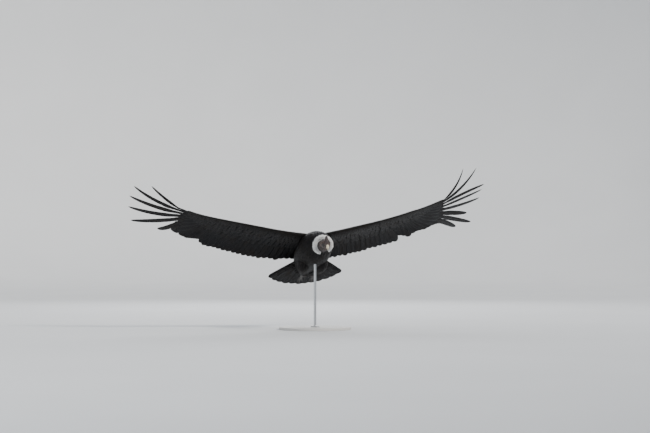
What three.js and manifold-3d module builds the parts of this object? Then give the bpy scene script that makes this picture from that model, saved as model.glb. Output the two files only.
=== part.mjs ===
// Andean condor, adult male, gliding on spread wings and banked on a plain display stand.
// Units are millimetres, +Z up. The origin is the centre of the underside of the stand's base.
// Inside the bird group the frame is the bird's own: +X is its left, -Y its front, +Z its back.
import * as THREE from "three";
import { mergeVertices } from "three/addons/utils/BufferGeometryUtils.js";
import Module from "manifold-3d";

const wasm = await Module();
wasm.setup();

const { degToRad, lerp, clamp, smoothstep } = THREE.MathUtils;
const vec = (x, y, z) => new THREE.Vector3(x, y, z);
const GAP = 0.3; // clearance between pieces that touch

// Pose of the whole bird on its stand
const BIRD_POSITION = vec(0, 43, 620);
const BIRD_PITCH = 27.8; // degrees, nose up
const BIRD_ROLL = 2.2; // degrees, left wing up

// Display stand
const BASE_RADIUS = 280;
const BASE_THICKNESS = 20;
const BASE_CHAMFER = 3;
const ROD_RADIUS = 10;
const ROD_FOOT_RADIUS = 34;
const ROD_FOOT_HEIGHT = 8;
const ROD_TOP = 528; // height of the rod's end, inside the belly

// Trunk: stations from breast to tail coverts
const TRUNK_Y = [-262, -235, -170, -60, 80, 200, 300, 372, 400];
const TRUNK_Z = [-66, -52, -22, -8, 0, 6, 4, -4, -8];
const TRUNK_HALF_WIDTH = [22, 62, 106, 132, 138, 122, 92, 58, 30];
const TRUNK_HALF_HEIGHT = [22, 62, 98, 122, 112, 84, 48, 22, 10];
const TRUNK_RINGS = 16;
const TRUNK_SIDES = 18;

// Neck: its middle line from inside the breast to inside the skull
const NECK_PATH = [vec(0, -120, 6), vec(0, -200, -58), vec(0, -270, -106), vec(-4, -345, -130)];
const NECK_RADIUS = [66, 54, 46, 31];
const NECK_RINGS = 7;
const NECK_SIDES = 14;

// Ruff of down round the base of the neck, open at the throat
const RUFF_CENTRE = vec(0, -272, -106);
const RUFF_LEAN = 34; // degrees, how far its face tips below the body's own axis
const RUFF_TURN = -8; // degrees, its face turned to the bird's right
const RUFF_TILT = -13; // degrees, its open side turned to the bird's left
const RUFF_RADIUS = 60;
const RUFF_TUBE = 15;
const RUFF_TUBE_END = 6.5;
const RUFF_OPENING = 76; // degrees
const RUFF_TAPER = 45; // degrees at each end over which the ruff thins
const RUFF_RINGS = 18;
const RUFF_SIDES = 8;

// Head: stations from the nape to the front of the cere, in the head's own frame
const HEAD_CENTRE = vec(-4, -360, -137);
const HEAD_DOWN = 34; // degrees below the body's own axis
const HEAD_YAW = -4.3; // degrees, turned to the bird's right
const HEAD_ROLL = 3; // degrees, crown leaning to the bird's left
const HEAD_Y = [45, 38, 22, 0, -22, -42, -58, -72, -84];
const HEAD_Z = [0, 0, 0, 0, -1, -4, -8, -11, -13];
const HEAD_HALF_WIDTH = [8, 21, 32, 36, 33, 26, 19, 15, 13];
const HEAD_HALF_HEIGHT = [8, 22, 33, 37, 35, 29, 23, 19, 17];
const HEAD_RINGS = 12;
const HEAD_SIDES = 14;

// Bill
const BILL_UPPER_PATH = [[-84.5, -7], [-97, -7], [-108, -12], [-115, -22], [-116.5, -37]]; // y, z
const BILL_UPPER_HALF_WIDTH = [12, 10.5, 8.5, 5.5, 1];
const BILL_UPPER_HALF_HEIGHT = [11.5, 11, 9, 6, 1.2];
const BILL_LOWER_PATH = [[-84.5, -24], [-95, -23.6], [-108, -24.6]]; // y, z
const BILL_LOWER_HALF_WIDTH = [10, 8.5, 4];
const BILL_LOWER_HALF_HEIGHT = [5, 4.5, 2];
const BILL_RINGS_PER_POINT = 3;
const BILL_SIDES = 10;

// Comb on the cere and forehead: its outline as y, z
const COMB_OUTLINE = [[-82, -8], [-87, 16], [-82, 42], [-62, 57], [-36, 63], [-10, 56], [4, 30], [2, 0]];
const COMB_THICKNESS = 15;
const COMB_BEVEL = 4;

// Eyes
const EYE_RADIUS = 9;
const EYE_PLACE = vec(25, -24, 9);
const EYE_MERIDIANS = 10;
const EYE_PARALLELS = 6;

// Tail: a fan of twelve feathers
const TAIL_FEATHERS = 12;
const TAIL_APEX = vec(0, 40, 10);
const TAIL_DROOP = 5; // degrees
const TAIL_ROLL = -1.7; // degrees, left side up
const TAIL_HALF_ANGLE = 43.5; // degrees
const TAIL_INNER_RADIUS = 130;
const TAIL_RADIUS = 487;
const TAIL_CORNER_SHORTER = 38;
const TAIL_NOTCH = 12;
const TAIL_ARCH = 4; // drop of the outer edges below the middle
const TAIL_ROOT_THICKNESS = 26;
const TAIL_TIP_THICKNESS = 1.4;

// Legs, folded back under the tail
const THIGH_PATH = [vec(70, 0, -40), vec(74, 100, -80), vec(66, 186, -88), vec(60, 222, -88)];
const THIGH_RADIUS = [34, 47, 32, 16];
const THIGH_RINGS = 7;
const THIGH_SIDES = 10;
const TARSUS_PATH = [vec(60, 206, -88), vec(56, 256, -84), vec(50, 310, -74)];
const TARSUS_RADIUS = [12, 9, 11];
const TOE_ROOT = vec(50, 310, -74);
const TOE_LENGTHS = [74, 98, 70]; // inner, middle and outer toe
const TOE_SPREADS = [-16, 0, 16]; // degrees
const TOE_RADIUS = 7.5;
const CLAW_SHARE = 0.24; // part of a toe that is claw
const TOE_SHARES = [-0.08, 0.25, 0.5, 1 - CLAW_SHARE, 1]; // places along a toe, as parts of its length
const TOE_RISES = [0, 0, 0.04, 0.02, -0.1]; // height at those places, as parts of the length
const TOE_TAPER = [1, 1, 0.85, 0.6, 0.16]; // thickness at those places, as parts of the radius
const HALLUX_OFFSET = vec(-8, -12, -4);
const HALLUX_LENGTH = 38;
const HALLUX_SPREAD = -70; // degrees
const LEG_RINGS = 6;
const LEG_SIDES = 6;

// Wing: places along the leading edge (s) from the body's middle, shared by both wings
const WING_START = vec(100, -130, 72);
const S_BURIED = 40; // the wing's solids start here, inside the trunk, and are cut off by it
const S_ROOT = 100;
const S_WRIST = 660;
const S_INNER_PRIMARIES = 980;
const S_SLOTS = 1100;
const ANGLE_PLACES = [100, 400, 750, 1100];
const CHORD_PLACES = [100, 250, 500, 750, 1100];
const CHORDS = [400, 430, 445, 425, 360];
const THICKNESS_PLACES = [100, 350, 620, 850, 1100];
const THICKNESSES = [52, 48, 34, 20, 9];
const CAMBER_PLACES = [100, 600, 1100];
const CAMBERS = [0.075, 0.06, 0.03]; // part of the chord
const THICKEST_AT = 0.2; // part of the chord
const EDGE_THICKNESS = 1.4;
const ARM_RINGS = 9;
const HAND_RINGS = 7;
const FRONT_POINTS = 6;
const S_SPLAY_START = 750; // the feather tips fan outwards from here to the slots
const FEATHER_LINE = 0.58; // part of the chord where the bare flight feathers begin
const FEATHER_WIDTH = 40.8; // spacing of the flight feathers along the trailing edge
const FEATHER_NOTCH = 12;
const S_FIRST_FEATHER = 120;
const SLOT_COUNT = 8;
const SLOT_SPREAD = 1.4; // crowds the first fingers to the leading edge
const FINGER_THICKNESS = 3;
const FINGER_TIP_THICKNESS = 1.2;
const FINGER_INSET = 14;
const FINGER_RINGS = 8;
const FINGER_NARROW = [0.6, 0.6, 0.6, 0.7, 0.85, 0.75, 0.75, 0.75]; // share of the width at the root
const FINGER_WIDENS_BY = 0.25; // part of the length
const FINGER_TWISTED_BY = 0.12; // part of the length
const FINGER_SECTION = [[-0.9, 0], [-0.3, 1], [0.4, 0.8], [1.1, 0], [0.4, -0.8], [-0.3, -1]]; // across, up

// Angles along each wing in degrees, and the free primaries from the leading edge back:
// length, sweep forward, rise at the root, further rise to the tip, twist of the vane, width.
const WINGS = {
  left: {
    side: 1,
    dihedral: [9.3, 10.2, 12.7, 21.8],
    incidence: [2.7, 1.3, 1.8, 4.9],
    sweep: [3, 6, 9, 0],
    splay: 43,
    short: {
      4: -17, 5: -7, 6: -9, 7: -14, 8: -11, 9: 5, 10: -2, 11: -6, 12: -11,
      13: -16, 14: -22, 15: 60, 16: 21, 17: -24, 18: 9, 19: 20, 20: 14,
    },
    fingers: [
      [331, 10, 38, 29, -22, 34],
      [429, 6, 29.7, 23.5, -16, 38],
      [431, -4, 28.7, -6.8, -7, 44],
      [441, -11, 24.3, 2.1, 2, 48],
      [442, -18, 18.7, 7.4, 2, 50],
      [333, -30, 14.9, -2.6, -8, 54],
      [451, -37, 11, -1.2, 0, 52],
      [320, -47, 12, -4.2, 0, 52],
    ],
  },
  right: {
    side: -1,
    dihedral: [8.4, 11.6, 10.6, 29.9],
    incidence: [1.1, 3.1, 1.8, 1.3],
    sweep: [3, 6, 7, -10],
    splay: 24,
    short: { 2: -14, 5: -6, 15: -4, 16: -8, 17: 12, 18: 64, 19: 36, 20: 22, 21: 6, 22: -8, 23: -6 },
    fingers: [
      [281, -8, 43.1, 11.9, -12, 34],
      [412, -12, 29, 20.2, -9, 42],
      [430, -20, 25, 14.2, -4, 48],
      [436, -27, 18.6, 14.4, 0, 50],
      [416, -34, 12.6, 8.4, 0, 50],
      [243, -57, 2, 22.6, 0, 48],
      [100, -77, 2.5, 6, 0, 68],
    ],
  },
};

// Curve through values at given places, with smooth changes of slope
function spline(places, values, at) {
  const last = places.length - 1;
  const x = clamp(at, places[0], places[last]);
  let i = 0;
  while (i < last - 1 && x > places[i + 1]) i += 1;
  const slope = (k) => {
    const a = Math.max(k - 1, 0);
    const b = Math.min(k + 1, last);
    return (values[b] - values[a]) / (places[b] - places[a]);
  };
  const width = places[i + 1] - places[i];
  const t = (x - places[i]) / width;
  const rise = values[i + 1] - values[i];
  const start = slope(i) * width;
  const end = slope(i + 1) * width;
  return values[i] + t * (start + t * (3 * rise - 2 * start - end + t * (start + end - 2 * rise)));
}

// Value that eases from each place to the next
function ease(places, values, at) {
  let i = 0;
  while (i < places.length - 2 && at > places[i + 1]) i += 1;
  return lerp(values[i], values[i + 1], smoothstep(at, places[i], places[i + 1]));
}

// Even steps from first to last
function steps(first, last, count) {
  return Array.from({ length: count + 1 }, (_, i) => lerp(first, last, i / count));
}

// Triangles that close a flat ring of points
function capOf(ring) {
  const middle = ring.reduce((sum, p) => sum.add(p), vec(0, 0, 0)).divideScalar(ring.length);
  const normal = vec(0, 0, 0);
  ring.forEach((p, i) => {
    const a = p.clone().sub(middle);
    const b = ring[(i + 1) % ring.length].clone().sub(middle);
    normal.add(a.cross(b));
  });
  normal.normalize();
  const across = ring[0].clone().sub(middle).projectOnPlane(normal).normalize();
  const along = normal.clone().cross(across);
  const flat = ring.map((p) => {
    const q = p.clone().sub(middle);
    return new THREE.Vector2(q.dot(across), q.dot(along));
  });
  return THREE.ShapeUtils.triangulateShape(flat, []);
}

// Closed surface through rings of points
function loft(rings) {
  const sides = rings[0].length;
  const positions = rings.flat().flatMap((p) => [p.x, p.y, p.z]);
  const faces = [];
  for (let i = 0; i + 1 < rings.length; i += 1) {
    for (let j = 0; j < sides; j += 1) {
      const a = i * sides + j;
      const b = i * sides + ((j + 1) % sides);
      faces.push([a, b, b + sides], [a, b + sides, a + sides]);
    }
  }
  const end = (rings.length - 1) * sides;
  for (const [a, b, c] of capOf(rings[0])) faces.push([c, b, a]);
  for (const [a, b, c] of capOf(rings[rings.length - 1])) faces.push([a + end, b + end, c + end]);
  const geometry = new THREE.BufferGeometry();
  geometry.setAttribute("position", new THREE.Float32BufferAttribute(positions, 3));
  geometry.setIndex(faces.flat());
  return facingOut(geometry);
}

// The same geometry with its faces turned outwards
function facingOut(geometry) {
  const p = geometry.getAttribute("position");
  const index = geometry.getIndex().array;
  const at = (i) => vec(p.getX(index[i]), p.getY(index[i]), p.getZ(index[i]));
  let volume = 0;
  for (let i = 0; i < index.length; i += 3) volume += at(i).dot(at(i + 1).cross(at(i + 2)));
  if (volume < 0) {
    for (let i = 0; i < index.length; i += 3) {
      [index[i + 1], index[i + 2]] = [index[i + 2], index[i + 1]];
    }
  }
  return geometry;
}

function toSolid(geometry) {
  const bare = geometry.clone();
  bare.deleteAttribute("normal");
  bare.deleteAttribute("uv");
  const merged = mergeVertices(bare, 1e-3);
  return new wasm.Manifold(
    new wasm.Mesh({
      numProp: 3,
      vertProperties: new Float32Array(merged.getAttribute("position").array),
      triVerts: new Uint32Array(merged.getIndex().array),
    }),
  );
}

// The largest body of a solid, as a geometry
function toGeometry(solid) {
  const bodies = solid.decompose();
  bodies.sort((a, b) => b.volume() - a.volume());
  const mesh = bodies[0].getMesh();
  const geometry = new THREE.BufferGeometry();
  geometry.setAttribute("position", new THREE.BufferAttribute(mesh.vertProperties, 3));
  geometry.setIndex(new THREE.BufferAttribute(mesh.triVerts, 1));
  return geometry;
}

function cut(geometry, ...tools) {
  return toGeometry(tools.reduce((solid, tool) => solid.subtract(toSolid(tool)), toSolid(geometry)));
}

function join(...geometries) {
  return toGeometry(geometries.map(toSolid).reduce((a, b) => a.add(b)));
}

// Oval ring of points about a middle, in the plane of two directions
function oval(middle, across, up, halfWidth, halfHeight, sides) {
  return Array.from({ length: sides }, (_, i) => {
    const angle = (2 * Math.PI * i) / sides;
    return middle
      .clone()
      .addScaledVector(across, halfWidth * Math.cos(angle))
      .addScaledVector(up, halfHeight * Math.sin(angle));
  });
}

// Round tube along a curve, with a radius at each of the curve's points
function tube(path, radii, rings, sides, grow = 0) {
  const curve = new THREE.CatmullRomCurve3(path);
  const places = radii.map((_, i) => i / (radii.length - 1));
  return loft(
    steps(0, 1, rings).map((t) => {
      const tangent = curve.getTangent(t);
      const across = vec(1, 0, 0).projectOnPlane(tangent).normalize();
      const up = tangent.clone().cross(across);
      const radius = spline(places, radii, t) + grow;
      return oval(curve.getPoint(t), across, up, radius, radius, sides);
    }),
  );
}

// Body of oval rings that stand across the Y axis
function bodyOf(stations, rings, sides, grow) {
  const [places, heights, halfWidths, halfHeights] = stations;
  const first = places[0] + grow * Math.sign(places[0] - places[1]);
  const last = places[places.length - 1] - grow * Math.sign(places[0] - places[1]);
  const ascending = places[0] < places[1];
  const order = (list) => (ascending ? list : [...list].reverse());
  const value = (list, y) => spline(order(places), order(list), y);
  return loft(
    steps(first, last, rings).map((y) =>
      oval(
        vec(0, y, value(heights, y)),
        vec(1, 0, 0),
        vec(0, 0, 1),
        value(halfWidths, y) + grow,
        value(halfHeights, y) + grow,
        sides,
      ),
    ),
  );
}

const mirrored = (point, side) => vec(point.x * side, point.y, point.z);

// Trunk, neck and ruff
function trunkShape(grow = 0) {
  const stations = [TRUNK_Y, TRUNK_Z, TRUNK_HALF_WIDTH, TRUNK_HALF_HEIGHT];
  return bodyOf(stations, TRUNK_RINGS, TRUNK_SIDES, grow);
}

function neckShape(grow = 0) {
  return tube(NECK_PATH, NECK_RADIUS, NECK_RINGS, NECK_SIDES, grow);
}

function ruffShape() {
  const turn = new THREE.Euler(degToRad(RUFF_LEAN), degToRad(RUFF_TILT), degToRad(RUFF_TURN));
  const half = 180 - RUFF_OPENING / 2;
  return loft(
    steps(-half, half, RUFF_RINGS).map((degrees) => {
      const angle = degToRad(degrees);
      const outward = vec(Math.sin(angle), 0, Math.cos(angle));
      const endShare = smoothstep(Math.abs(degrees), half - RUFF_TAPER, half);
      const radius = lerp(RUFF_TUBE, RUFF_TUBE_END, endShare);
      const ring = oval(
        outward.clone().multiplyScalar(RUFF_RADIUS),
        outward,
        vec(0, 1, 0),
        radius,
        radius,
        RUFF_SIDES,
      );
      return ring.map((p) => p.applyEuler(turn).add(RUFF_CENTRE));
    }),
  );
}

// Head, bill, comb and eyes, in the head's own frame
function headShape(grow = 0) {
  const stations = [HEAD_Y, HEAD_Z, HEAD_HALF_WIDTH, HEAD_HALF_HEIGHT];
  return bodyOf(stations, HEAD_RINGS, HEAD_SIDES, grow);
}

function billShape(path, halfWidths, halfHeights) {
  const curve = new THREE.CatmullRomCurve3(path.map(([y, z]) => vec(0, y, z)));
  const places = halfWidths.map((_, i) => i / (halfWidths.length - 1));
  return loft(
    steps(0, 1, BILL_RINGS_PER_POINT * (path.length - 1)).map((t) => {
      const tangent = t === 0 ? vec(0, -1, 0) : curve.getTangent(t);
      const up = vec(1, 0, 0).cross(tangent).negate();
      const halfWidth = spline(places, halfWidths, t);
      const halfHeight = spline(places, halfHeights, t);
      return oval(curve.getPoint(t), vec(1, 0, 0), up, halfWidth, halfHeight, BILL_SIDES);
    }),
  );
}

function combShape() {
  const outline = new THREE.Shape();
  outline.moveTo(...COMB_OUTLINE[0]);
  outline.splineThru(COMB_OUTLINE.slice(1).map(([y, z]) => new THREE.Vector2(y, z)));
  const geometry = new THREE.ExtrudeGeometry(outline, {
    depth: COMB_THICKNESS - 2 * COMB_BEVEL,
    bevelThickness: COMB_BEVEL,
    bevelSize: COMB_BEVEL,
    bevelOffset: -COMB_BEVEL,
    bevelSegments: 1,
    curveSegments: 2,
  });
  geometry.translate(0, 0, COMB_BEVEL - COMB_THICKNESS / 2);
  geometry.applyMatrix4(new THREE.Matrix4().makeBasis(vec(0, 1, 0), vec(0, 0, 1), vec(1, 0, 0)));
  return geometry;
}

function eyeShape(side, grow = 0) {
  const geometry = new THREE.SphereGeometry(EYE_RADIUS + grow, EYE_MERIDIANS, EYE_PARALLELS);
  const place = mirrored(EYE_PLACE, side);
  return geometry.translate(place.x, place.y, place.z);
}

// Tail fan: one ring of points for each half of a feather
function tailShape() {
  const droop = new THREE.Euler(degToRad(-TAIL_DROOP), degToRad(TAIL_ROLL), 0);
  const shares = [0, 0.4, 0.8, 1];
  return loft(
    steps(-1, 1, 2 * TAIL_FEATHERS).map((place) => {
      const angle = degToRad(TAIL_HALF_ANGLE * place);
      const phase = ((place + 1) / 2) * TAIL_FEATHERS;
      const notch = TAIL_NOTCH * (1 - Math.abs(Math.sin(Math.PI * phase)));
      const radius = TAIL_RADIUS - TAIL_CORNER_SHORTER * place ** 2 - notch;
      const pointAt = (share, side) => {
        const r = lerp(TAIL_INNER_RADIUS, radius, share);
        const thickness = lerp(TAIL_ROOT_THICKNESS, TAIL_TIP_THICKNESS, share ** 0.35);
        const drop = TAIL_ARCH * place ** 2 * (r / TAIL_RADIUS);
        const p = vec(r * Math.sin(angle), r * Math.cos(angle), (side * thickness) / 2 - drop);
        return p.applyEuler(droop).add(TAIL_APEX);
      };
      const upper = shares.map((share) => pointAt(share, 1));
      const lower = [...shares].reverse().map((share) => pointAt(share, -1));
      return [...upper, ...lower];
    }),
  );
}

// Legs
function thighShape(side, grow = 0) {
  const path = THIGH_PATH.map((p) => mirrored(p, side));
  return tube(path, THIGH_RADIUS, THIGH_RINGS, THIGH_SIDES, grow);
}

// One toe that ends in a curved claw
function toeShape(root, length, spread, side) {
  const direction = vec(Math.sin(degToRad(spread)), Math.cos(degToRad(spread)), 0);
  const path = TOE_SHARES.map((share, i) =>
    root
      .clone()
      .addScaledVector(direction, share * length)
      .add(vec(0, 0, TOE_RISES[i] * length)),
  );
  const radii = TOE_TAPER.map((taper) => TOE_RADIUS * taper);
  return tube(path.map((p) => mirrored(p, side)), radii, LEG_RINGS, LEG_SIDES);
}

function footShape(side) {
  const tarsus = tube(TARSUS_PATH.map((p) => mirrored(p, side)), TARSUS_RADIUS, LEG_RINGS, LEG_SIDES);
  const toes = TOE_LENGTHS.map((length, i) => toeShape(TOE_ROOT, length, TOE_SPREADS[i], side));
  const halluxRoot = TOE_ROOT.clone().add(HALLUX_OFFSET);
  const hallux = toeShape(halluxRoot, HALLUX_LENGTH, HALLUX_SPREAD, side);
  return join(tarsus, ...toes, hallux);
}

// Leading edge of a wing, followed outwards from the shoulder by its angles
function wingSkeleton(wing) {
  const stride = 10;
  const places = [];
  const leads = [];
  const lead = WING_START.clone();
  for (let s = S_ROOT; s <= S_SLOTS; s += stride) {
    places.push(s);
    leads.push(lead.clone());
    const before = outwardAt(wing, s);
    const after = outwardAt(wing, Math.min(s + stride, S_SLOTS));
    lead.addScaledVector(before.add(after), stride / 2);
  }
  return { places, leads };
}

function outwardAt(wing, s) {
  const rise = degToRad(ease(ANGLE_PLACES, wing.dihedral, s));
  const forward = degToRad(ease(ANGLE_PLACES, wing.sweep, s));
  return vec(Math.cos(rise) * Math.cos(forward), -Math.sin(forward), Math.sin(rise) * Math.cos(forward));
}

// Frame of the wing at a place: its leading edge, and the ways outwards, backwards and up
function wingFrame(wing, s) {
  const { places, leads } = wing.skeleton;
  const outward = outwardAt(wing, s);
  const tilt = degToRad(ease(ANGLE_PLACES, wing.incidence, s));
  const back = vec(0, Math.cos(tilt), -Math.sin(tilt)).projectOnPlane(outward).normalize();
  const up = outward.clone().cross(back);
  const along = ["x", "y", "z"].map((axis) => {
    const values = leads.map((p) => p[axis]);
    return spline(places, values, s);
  });
  const beyond = s - clamp(s, S_ROOT, S_SLOTS);
  const lead = vec(...along).addScaledVector(outward, beyond);
  return { lead, outward, back, up };
}

// Point of a wing at a place s and a part u of the chord; level is 1 on top, -1 underneath
function wingPoint(wing, frame, s, u, level, grow = 0, longer = 0) {
  const chord = spline(CHORD_PLACES, CHORDS, s);
  const camber = chord * spline(CAMBER_PLACES, CAMBERS, s) * 4 * u * (1 - u);
  const x = u / THICKEST_AT;
  const profile = Math.sqrt(x) * Math.exp((1 - x * x) / 4);
  const thickness = spline(THICKNESS_PLACES, THICKNESSES, s) * profile + EDGE_THICKNESS * Math.sqrt(u);
  const splay = wing.splay * clamp((s - S_SPLAY_START) / (S_SLOTS - S_SPLAY_START), 0, 1) ** 2 * u;
  const point = frame.lead
    .clone()
    .addScaledVector(frame.back, chord * u + longer)
    .addScaledVector(frame.up, camber + level * (thickness / 2 + grow))
    .addScaledVector(frame.outward, splay);
  return mirrored(point, wing.side);
}

// Thick front of the wing between two places
function wingFront(wing, sFrom, sTo, rings, grow = 0) {
  const shares = steps(0, 1, FRONT_POINTS)
    .slice(1)
    .map((share) => FEATHER_LINE * share ** 2);
  return loft(
    steps(sFrom - grow, sTo + grow, rings).map((s) => {
      const frame = wingFrame(wing, s);
      const nose = wingPoint(wing, frame, s, 0, 0, 0, -grow);
      const longer = (u) => (u === FEATHER_LINE ? grow : 0);
      const pointAt = (u, level) => wingPoint(wing, frame, s, u, level, grow, longer(u));
      const upper = shares.map((u) => pointAt(u, 1));
      const lower = [...shares].reverse().map((u) => pointAt(u, -1));
      return [nose, ...upper, ...lower];
    }),
  );
}

// How much further than the mean edge the flight feathers reach at a place
function featherReach(wing, s) {
  const count = (s - S_FIRST_FEATHER) / FEATHER_WIDTH;
  const index = Math.floor(count);
  const phase = count - index;
  const notch = FEATHER_NOTCH * Math.abs(2 * phase - 1);
  const shortfall = wing.short[index] || 0;
  return FEATHER_NOTCH / 2 - notch - shortfall;
}

// Sheet of flight feathers behind the thick front, with one notch between feathers
function wingSheet(wing, sFrom, sTo, grow = 0) {
  const feathers = Math.round((sTo - sFrom) / FEATHER_WIDTH);
  const shares = [0, 1];
  return loft(
    steps(sFrom - grow, sTo + grow, 2 * feathers).map((s) => {
      const frame = wingFrame(wing, s);
      const reach = featherReach(wing, s) + grow;
      const pointAt = (share, level) =>
        wingPoint(wing, frame, s, lerp(FEATHER_LINE - 0.01, 1, share), level, grow, reach * share);
      const upper = shares.map((share) => pointAt(share, 1));
      const lower = [...shares].reverse().map((share) => pointAt(share, -1));
      return [...upper, ...lower];
    }),
  );
}

// Free end of one primary feather
function fingerShape(wing, number, grow = 0) {
  const [length, sweep, rise, curl, twist, width] = wing.fingers[number];
  const frame = wingFrame(wing, S_SLOTS);
  const share = ((number + 0.5) / SLOT_COUNT) ** SLOT_SPREAD;
  const chord = spline(CHORD_PLACES, CHORDS, S_SLOTS);
  const root = frame.lead
    .clone()
    .addScaledVector(frame.back, chord * share)
    .addScaledVector(frame.outward, wing.splay * share);
  const forward = degToRad(sweep);
  const directionAt = (t) => {
    const angle = degToRad(rise + curl * t);
    const level = Math.cos(angle);
    return vec(level * Math.cos(forward), -level * Math.sin(forward), Math.sin(angle));
  };
  const stride = length / FINGER_RINGS;
  const middle = root.addScaledVector(directionAt(0), -FINGER_INSET);
  return loft(
    steps(0, 1, FINGER_RINGS).map((t) => {
      const direction = directionAt(t);
      const back = frame.back.clone().projectOnPlane(direction).normalize();
      back.applyAxisAngle(direction, degToRad(twist) * smoothstep(t, 0, FINGER_TWISTED_BY));
      const up = direction.clone().cross(back);
      const widening = lerp(FINGER_NARROW[number], 1, smoothstep(t, 0, FINGER_WIDENS_BY));
      const spread = widening * Math.sqrt(1 - 0.97 * t ** 3);
      const half = (width / 2) * spread + grow;
      const thick = lerp(FINGER_THICKNESS, FINGER_TIP_THICKNESS, t) / 2 + grow;
      const points = FINGER_SECTION.map(([across, height]) => {
        const point = middle.clone().addScaledVector(back, across * half);
        return mirrored(point.addScaledVector(up, height * thick), wing.side);
      });
      middle.addScaledVector(direction, t === 0 ? stride + FINGER_INSET : stride);
      return points;
    }),
  );
}

// Stand
function baseShape() {
  const rim = BASE_RADIUS;
  const profile = [
    [0, 0],
    [rim, 0],
    [rim, BASE_THICKNESS - BASE_CHAMFER],
    [rim - BASE_CHAMFER, BASE_THICKNESS],
    [0, BASE_THICKNESS],
  ];
  return upright(profile, 40);
}

function rodShape(grow = 0) {
  const bottom = BASE_THICKNESS + GAP;
  const profile = [
    [0, bottom],
    [ROD_FOOT_RADIUS, bottom],
    [ROD_FOOT_RADIUS, bottom + ROD_FOOT_HEIGHT],
    [ROD_RADIUS + grow, bottom + ROD_FOOT_HEIGHT + 4],
    [ROD_RADIUS + grow, ROD_TOP + grow],
    [0, ROD_TOP + grow],
  ];
  return upright(profile, 16);
}

// Solid of revolution about the Z axis
function upright(profile, sides) {
  const points = profile.map(([x, y]) => new THREE.Vector2(x, y));
  return new THREE.LatheGeometry(points, sides).rotateX(Math.PI / 2);
}

// Finishes
const finish = (color, roughness, metalness = 0) =>
  new THREE.MeshStandardMaterial({ color, roughness, metalness });
const FEATHER_BLACK = finish("#15161a", 0.6);
const DOWN_WHITE = finish("#eeece6", 0.95);
const BARE_SKIN = finish("#4a3436", 0.55);
const COMB_SKIN = finish("#3b2226", 0.5);
const BILL_HORN = finish("#d9ccb0", 0.35);
const EYE = finish("#4a2c18", 0.08);
const LEG_SCALES = finish("#56524e", 0.65);
const STAND_BASE = finish("#c9c7c2", 0.5);
const STAND_ROD = finish("#8d8f92", 0.35, 0.9);

function piece(name, geometry, material) {
  const mesh = new THREE.Mesh(geometry, material);
  mesh.name = name;
  return mesh;
}

function buildHead() {
  const head = new THREE.Group();
  head.position.copy(HEAD_CENTRE);
  head.rotation.set(degToRad(HEAD_DOWN), degToRad(HEAD_ROLL), degToRad(HEAD_YAW));
  const skull = cut(headShape(), eyeShape(1, GAP), eyeShape(-1, GAP));
  const upperBill = billShape(BILL_UPPER_PATH, BILL_UPPER_HALF_WIDTH, BILL_UPPER_HALF_HEIGHT);
  const lowerBill = billShape(BILL_LOWER_PATH, BILL_LOWER_HALF_WIDTH, BILL_LOWER_HALF_HEIGHT);
  head.add(
    piece("head", skull, BARE_SKIN),
    piece("comb", cut(combShape(), headShape(GAP), upperBill), COMB_SKIN),
    piece("bill_upper", upperBill, BILL_HORN),
    piece("bill_lower", lowerBill, BILL_HORN),
    piece("eye_left", eyeShape(1), EYE),
    piece("eye_right", eyeShape(-1), EYE),
  );
  head.updateMatrix();
  return head;
}

function buildWing(name, wing, trunk) {
  wing.skeleton = wingSkeleton(wing);
  const armShape = (grow) => wingFront(wing, S_BURIED, S_WRIST - GAP, ARM_RINGS, grow);
  const handShape = (grow) => wingFront(wing, S_WRIST, S_SLOTS, HAND_RINGS, grow);
  const arm = cut(armShape(0), trunk);
  const hand = handShape(0);
  const armTool = armShape(GAP);
  const handTool = handShape(GAP);
  const secondaries = cut(wingSheet(wing, S_BURIED, S_INNER_PRIMARIES - GAP), trunk, armTool, handTool);
  const inner = cut(wingSheet(wing, S_INNER_PRIMARIES, S_SLOTS), handTool);
  const tools = [handTool, wingSheet(wing, S_INNER_PRIMARIES, S_SLOTS, GAP)];
  const meshes = [
    piece(`wing_${name}_arm`, arm, FEATHER_BLACK),
    piece(`wing_${name}_hand`, hand, FEATHER_BLACK),
    piece(`wing_${name}_secondaries`, secondaries, FEATHER_BLACK),
    piece(`wing_${name}_inner_primaries`, inner, FEATHER_BLACK),
  ];
  wing.fingers.forEach((_, i) => {
    const neighbours = i > 0 ? [fingerShape(wing, i - 1, GAP)] : [];
    const finger = cut(fingerShape(wing, i), ...tools, ...neighbours);
    meshes.push(piece(`wing_${name}_primary_${i + 1}`, finger, FEATHER_BLACK));
  });
  return meshes;
}

function buildBird() {
  const bird = new THREE.Group();
  bird.position.copy(BIRD_POSITION);
  bird.rotation.set(degToRad(-BIRD_PITCH), degToRad(-BIRD_ROLL), 0);
  bird.updateMatrix();
  const trunkTool = trunkShape(GAP);
  const neckTool = neckShape(GAP);
  const head = buildHead();
  const headTool = headShape(GAP).applyMatrix4(head.matrix);
  const rodTool = rodShape(GAP).applyMatrix4(bird.matrix.clone().invert());
  bird.add(
    head,
    piece("trunk", cut(trunkShape(), rodTool), FEATHER_BLACK),
    piece("neck", cut(neckShape(), trunkTool, headTool), BARE_SKIN),
    piece("ruff", cut(ruffShape(), neckTool, trunkTool, headTool), DOWN_WHITE),
  );
  const thighTools = [1, -1].map((side) => thighShape(side, GAP));
  bird.add(piece("tail", cut(tailShape(), trunkTool, ...thighTools), FEATHER_BLACK));
  for (const [name, side] of [["left", 1], ["right", -1]]) {
    const thighTool = thighTools[side === 1 ? 0 : 1];
    bird.add(
      piece(`thigh_${name}`, cut(thighShape(side), trunkTool), FEATHER_BLACK),
      piece(`foot_${name}`, cut(footShape(side), thighTool, trunkTool), LEG_SCALES),
      ...buildWing(name, WINGS[name], trunkTool),
    );
  }
  return bird;
}

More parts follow.
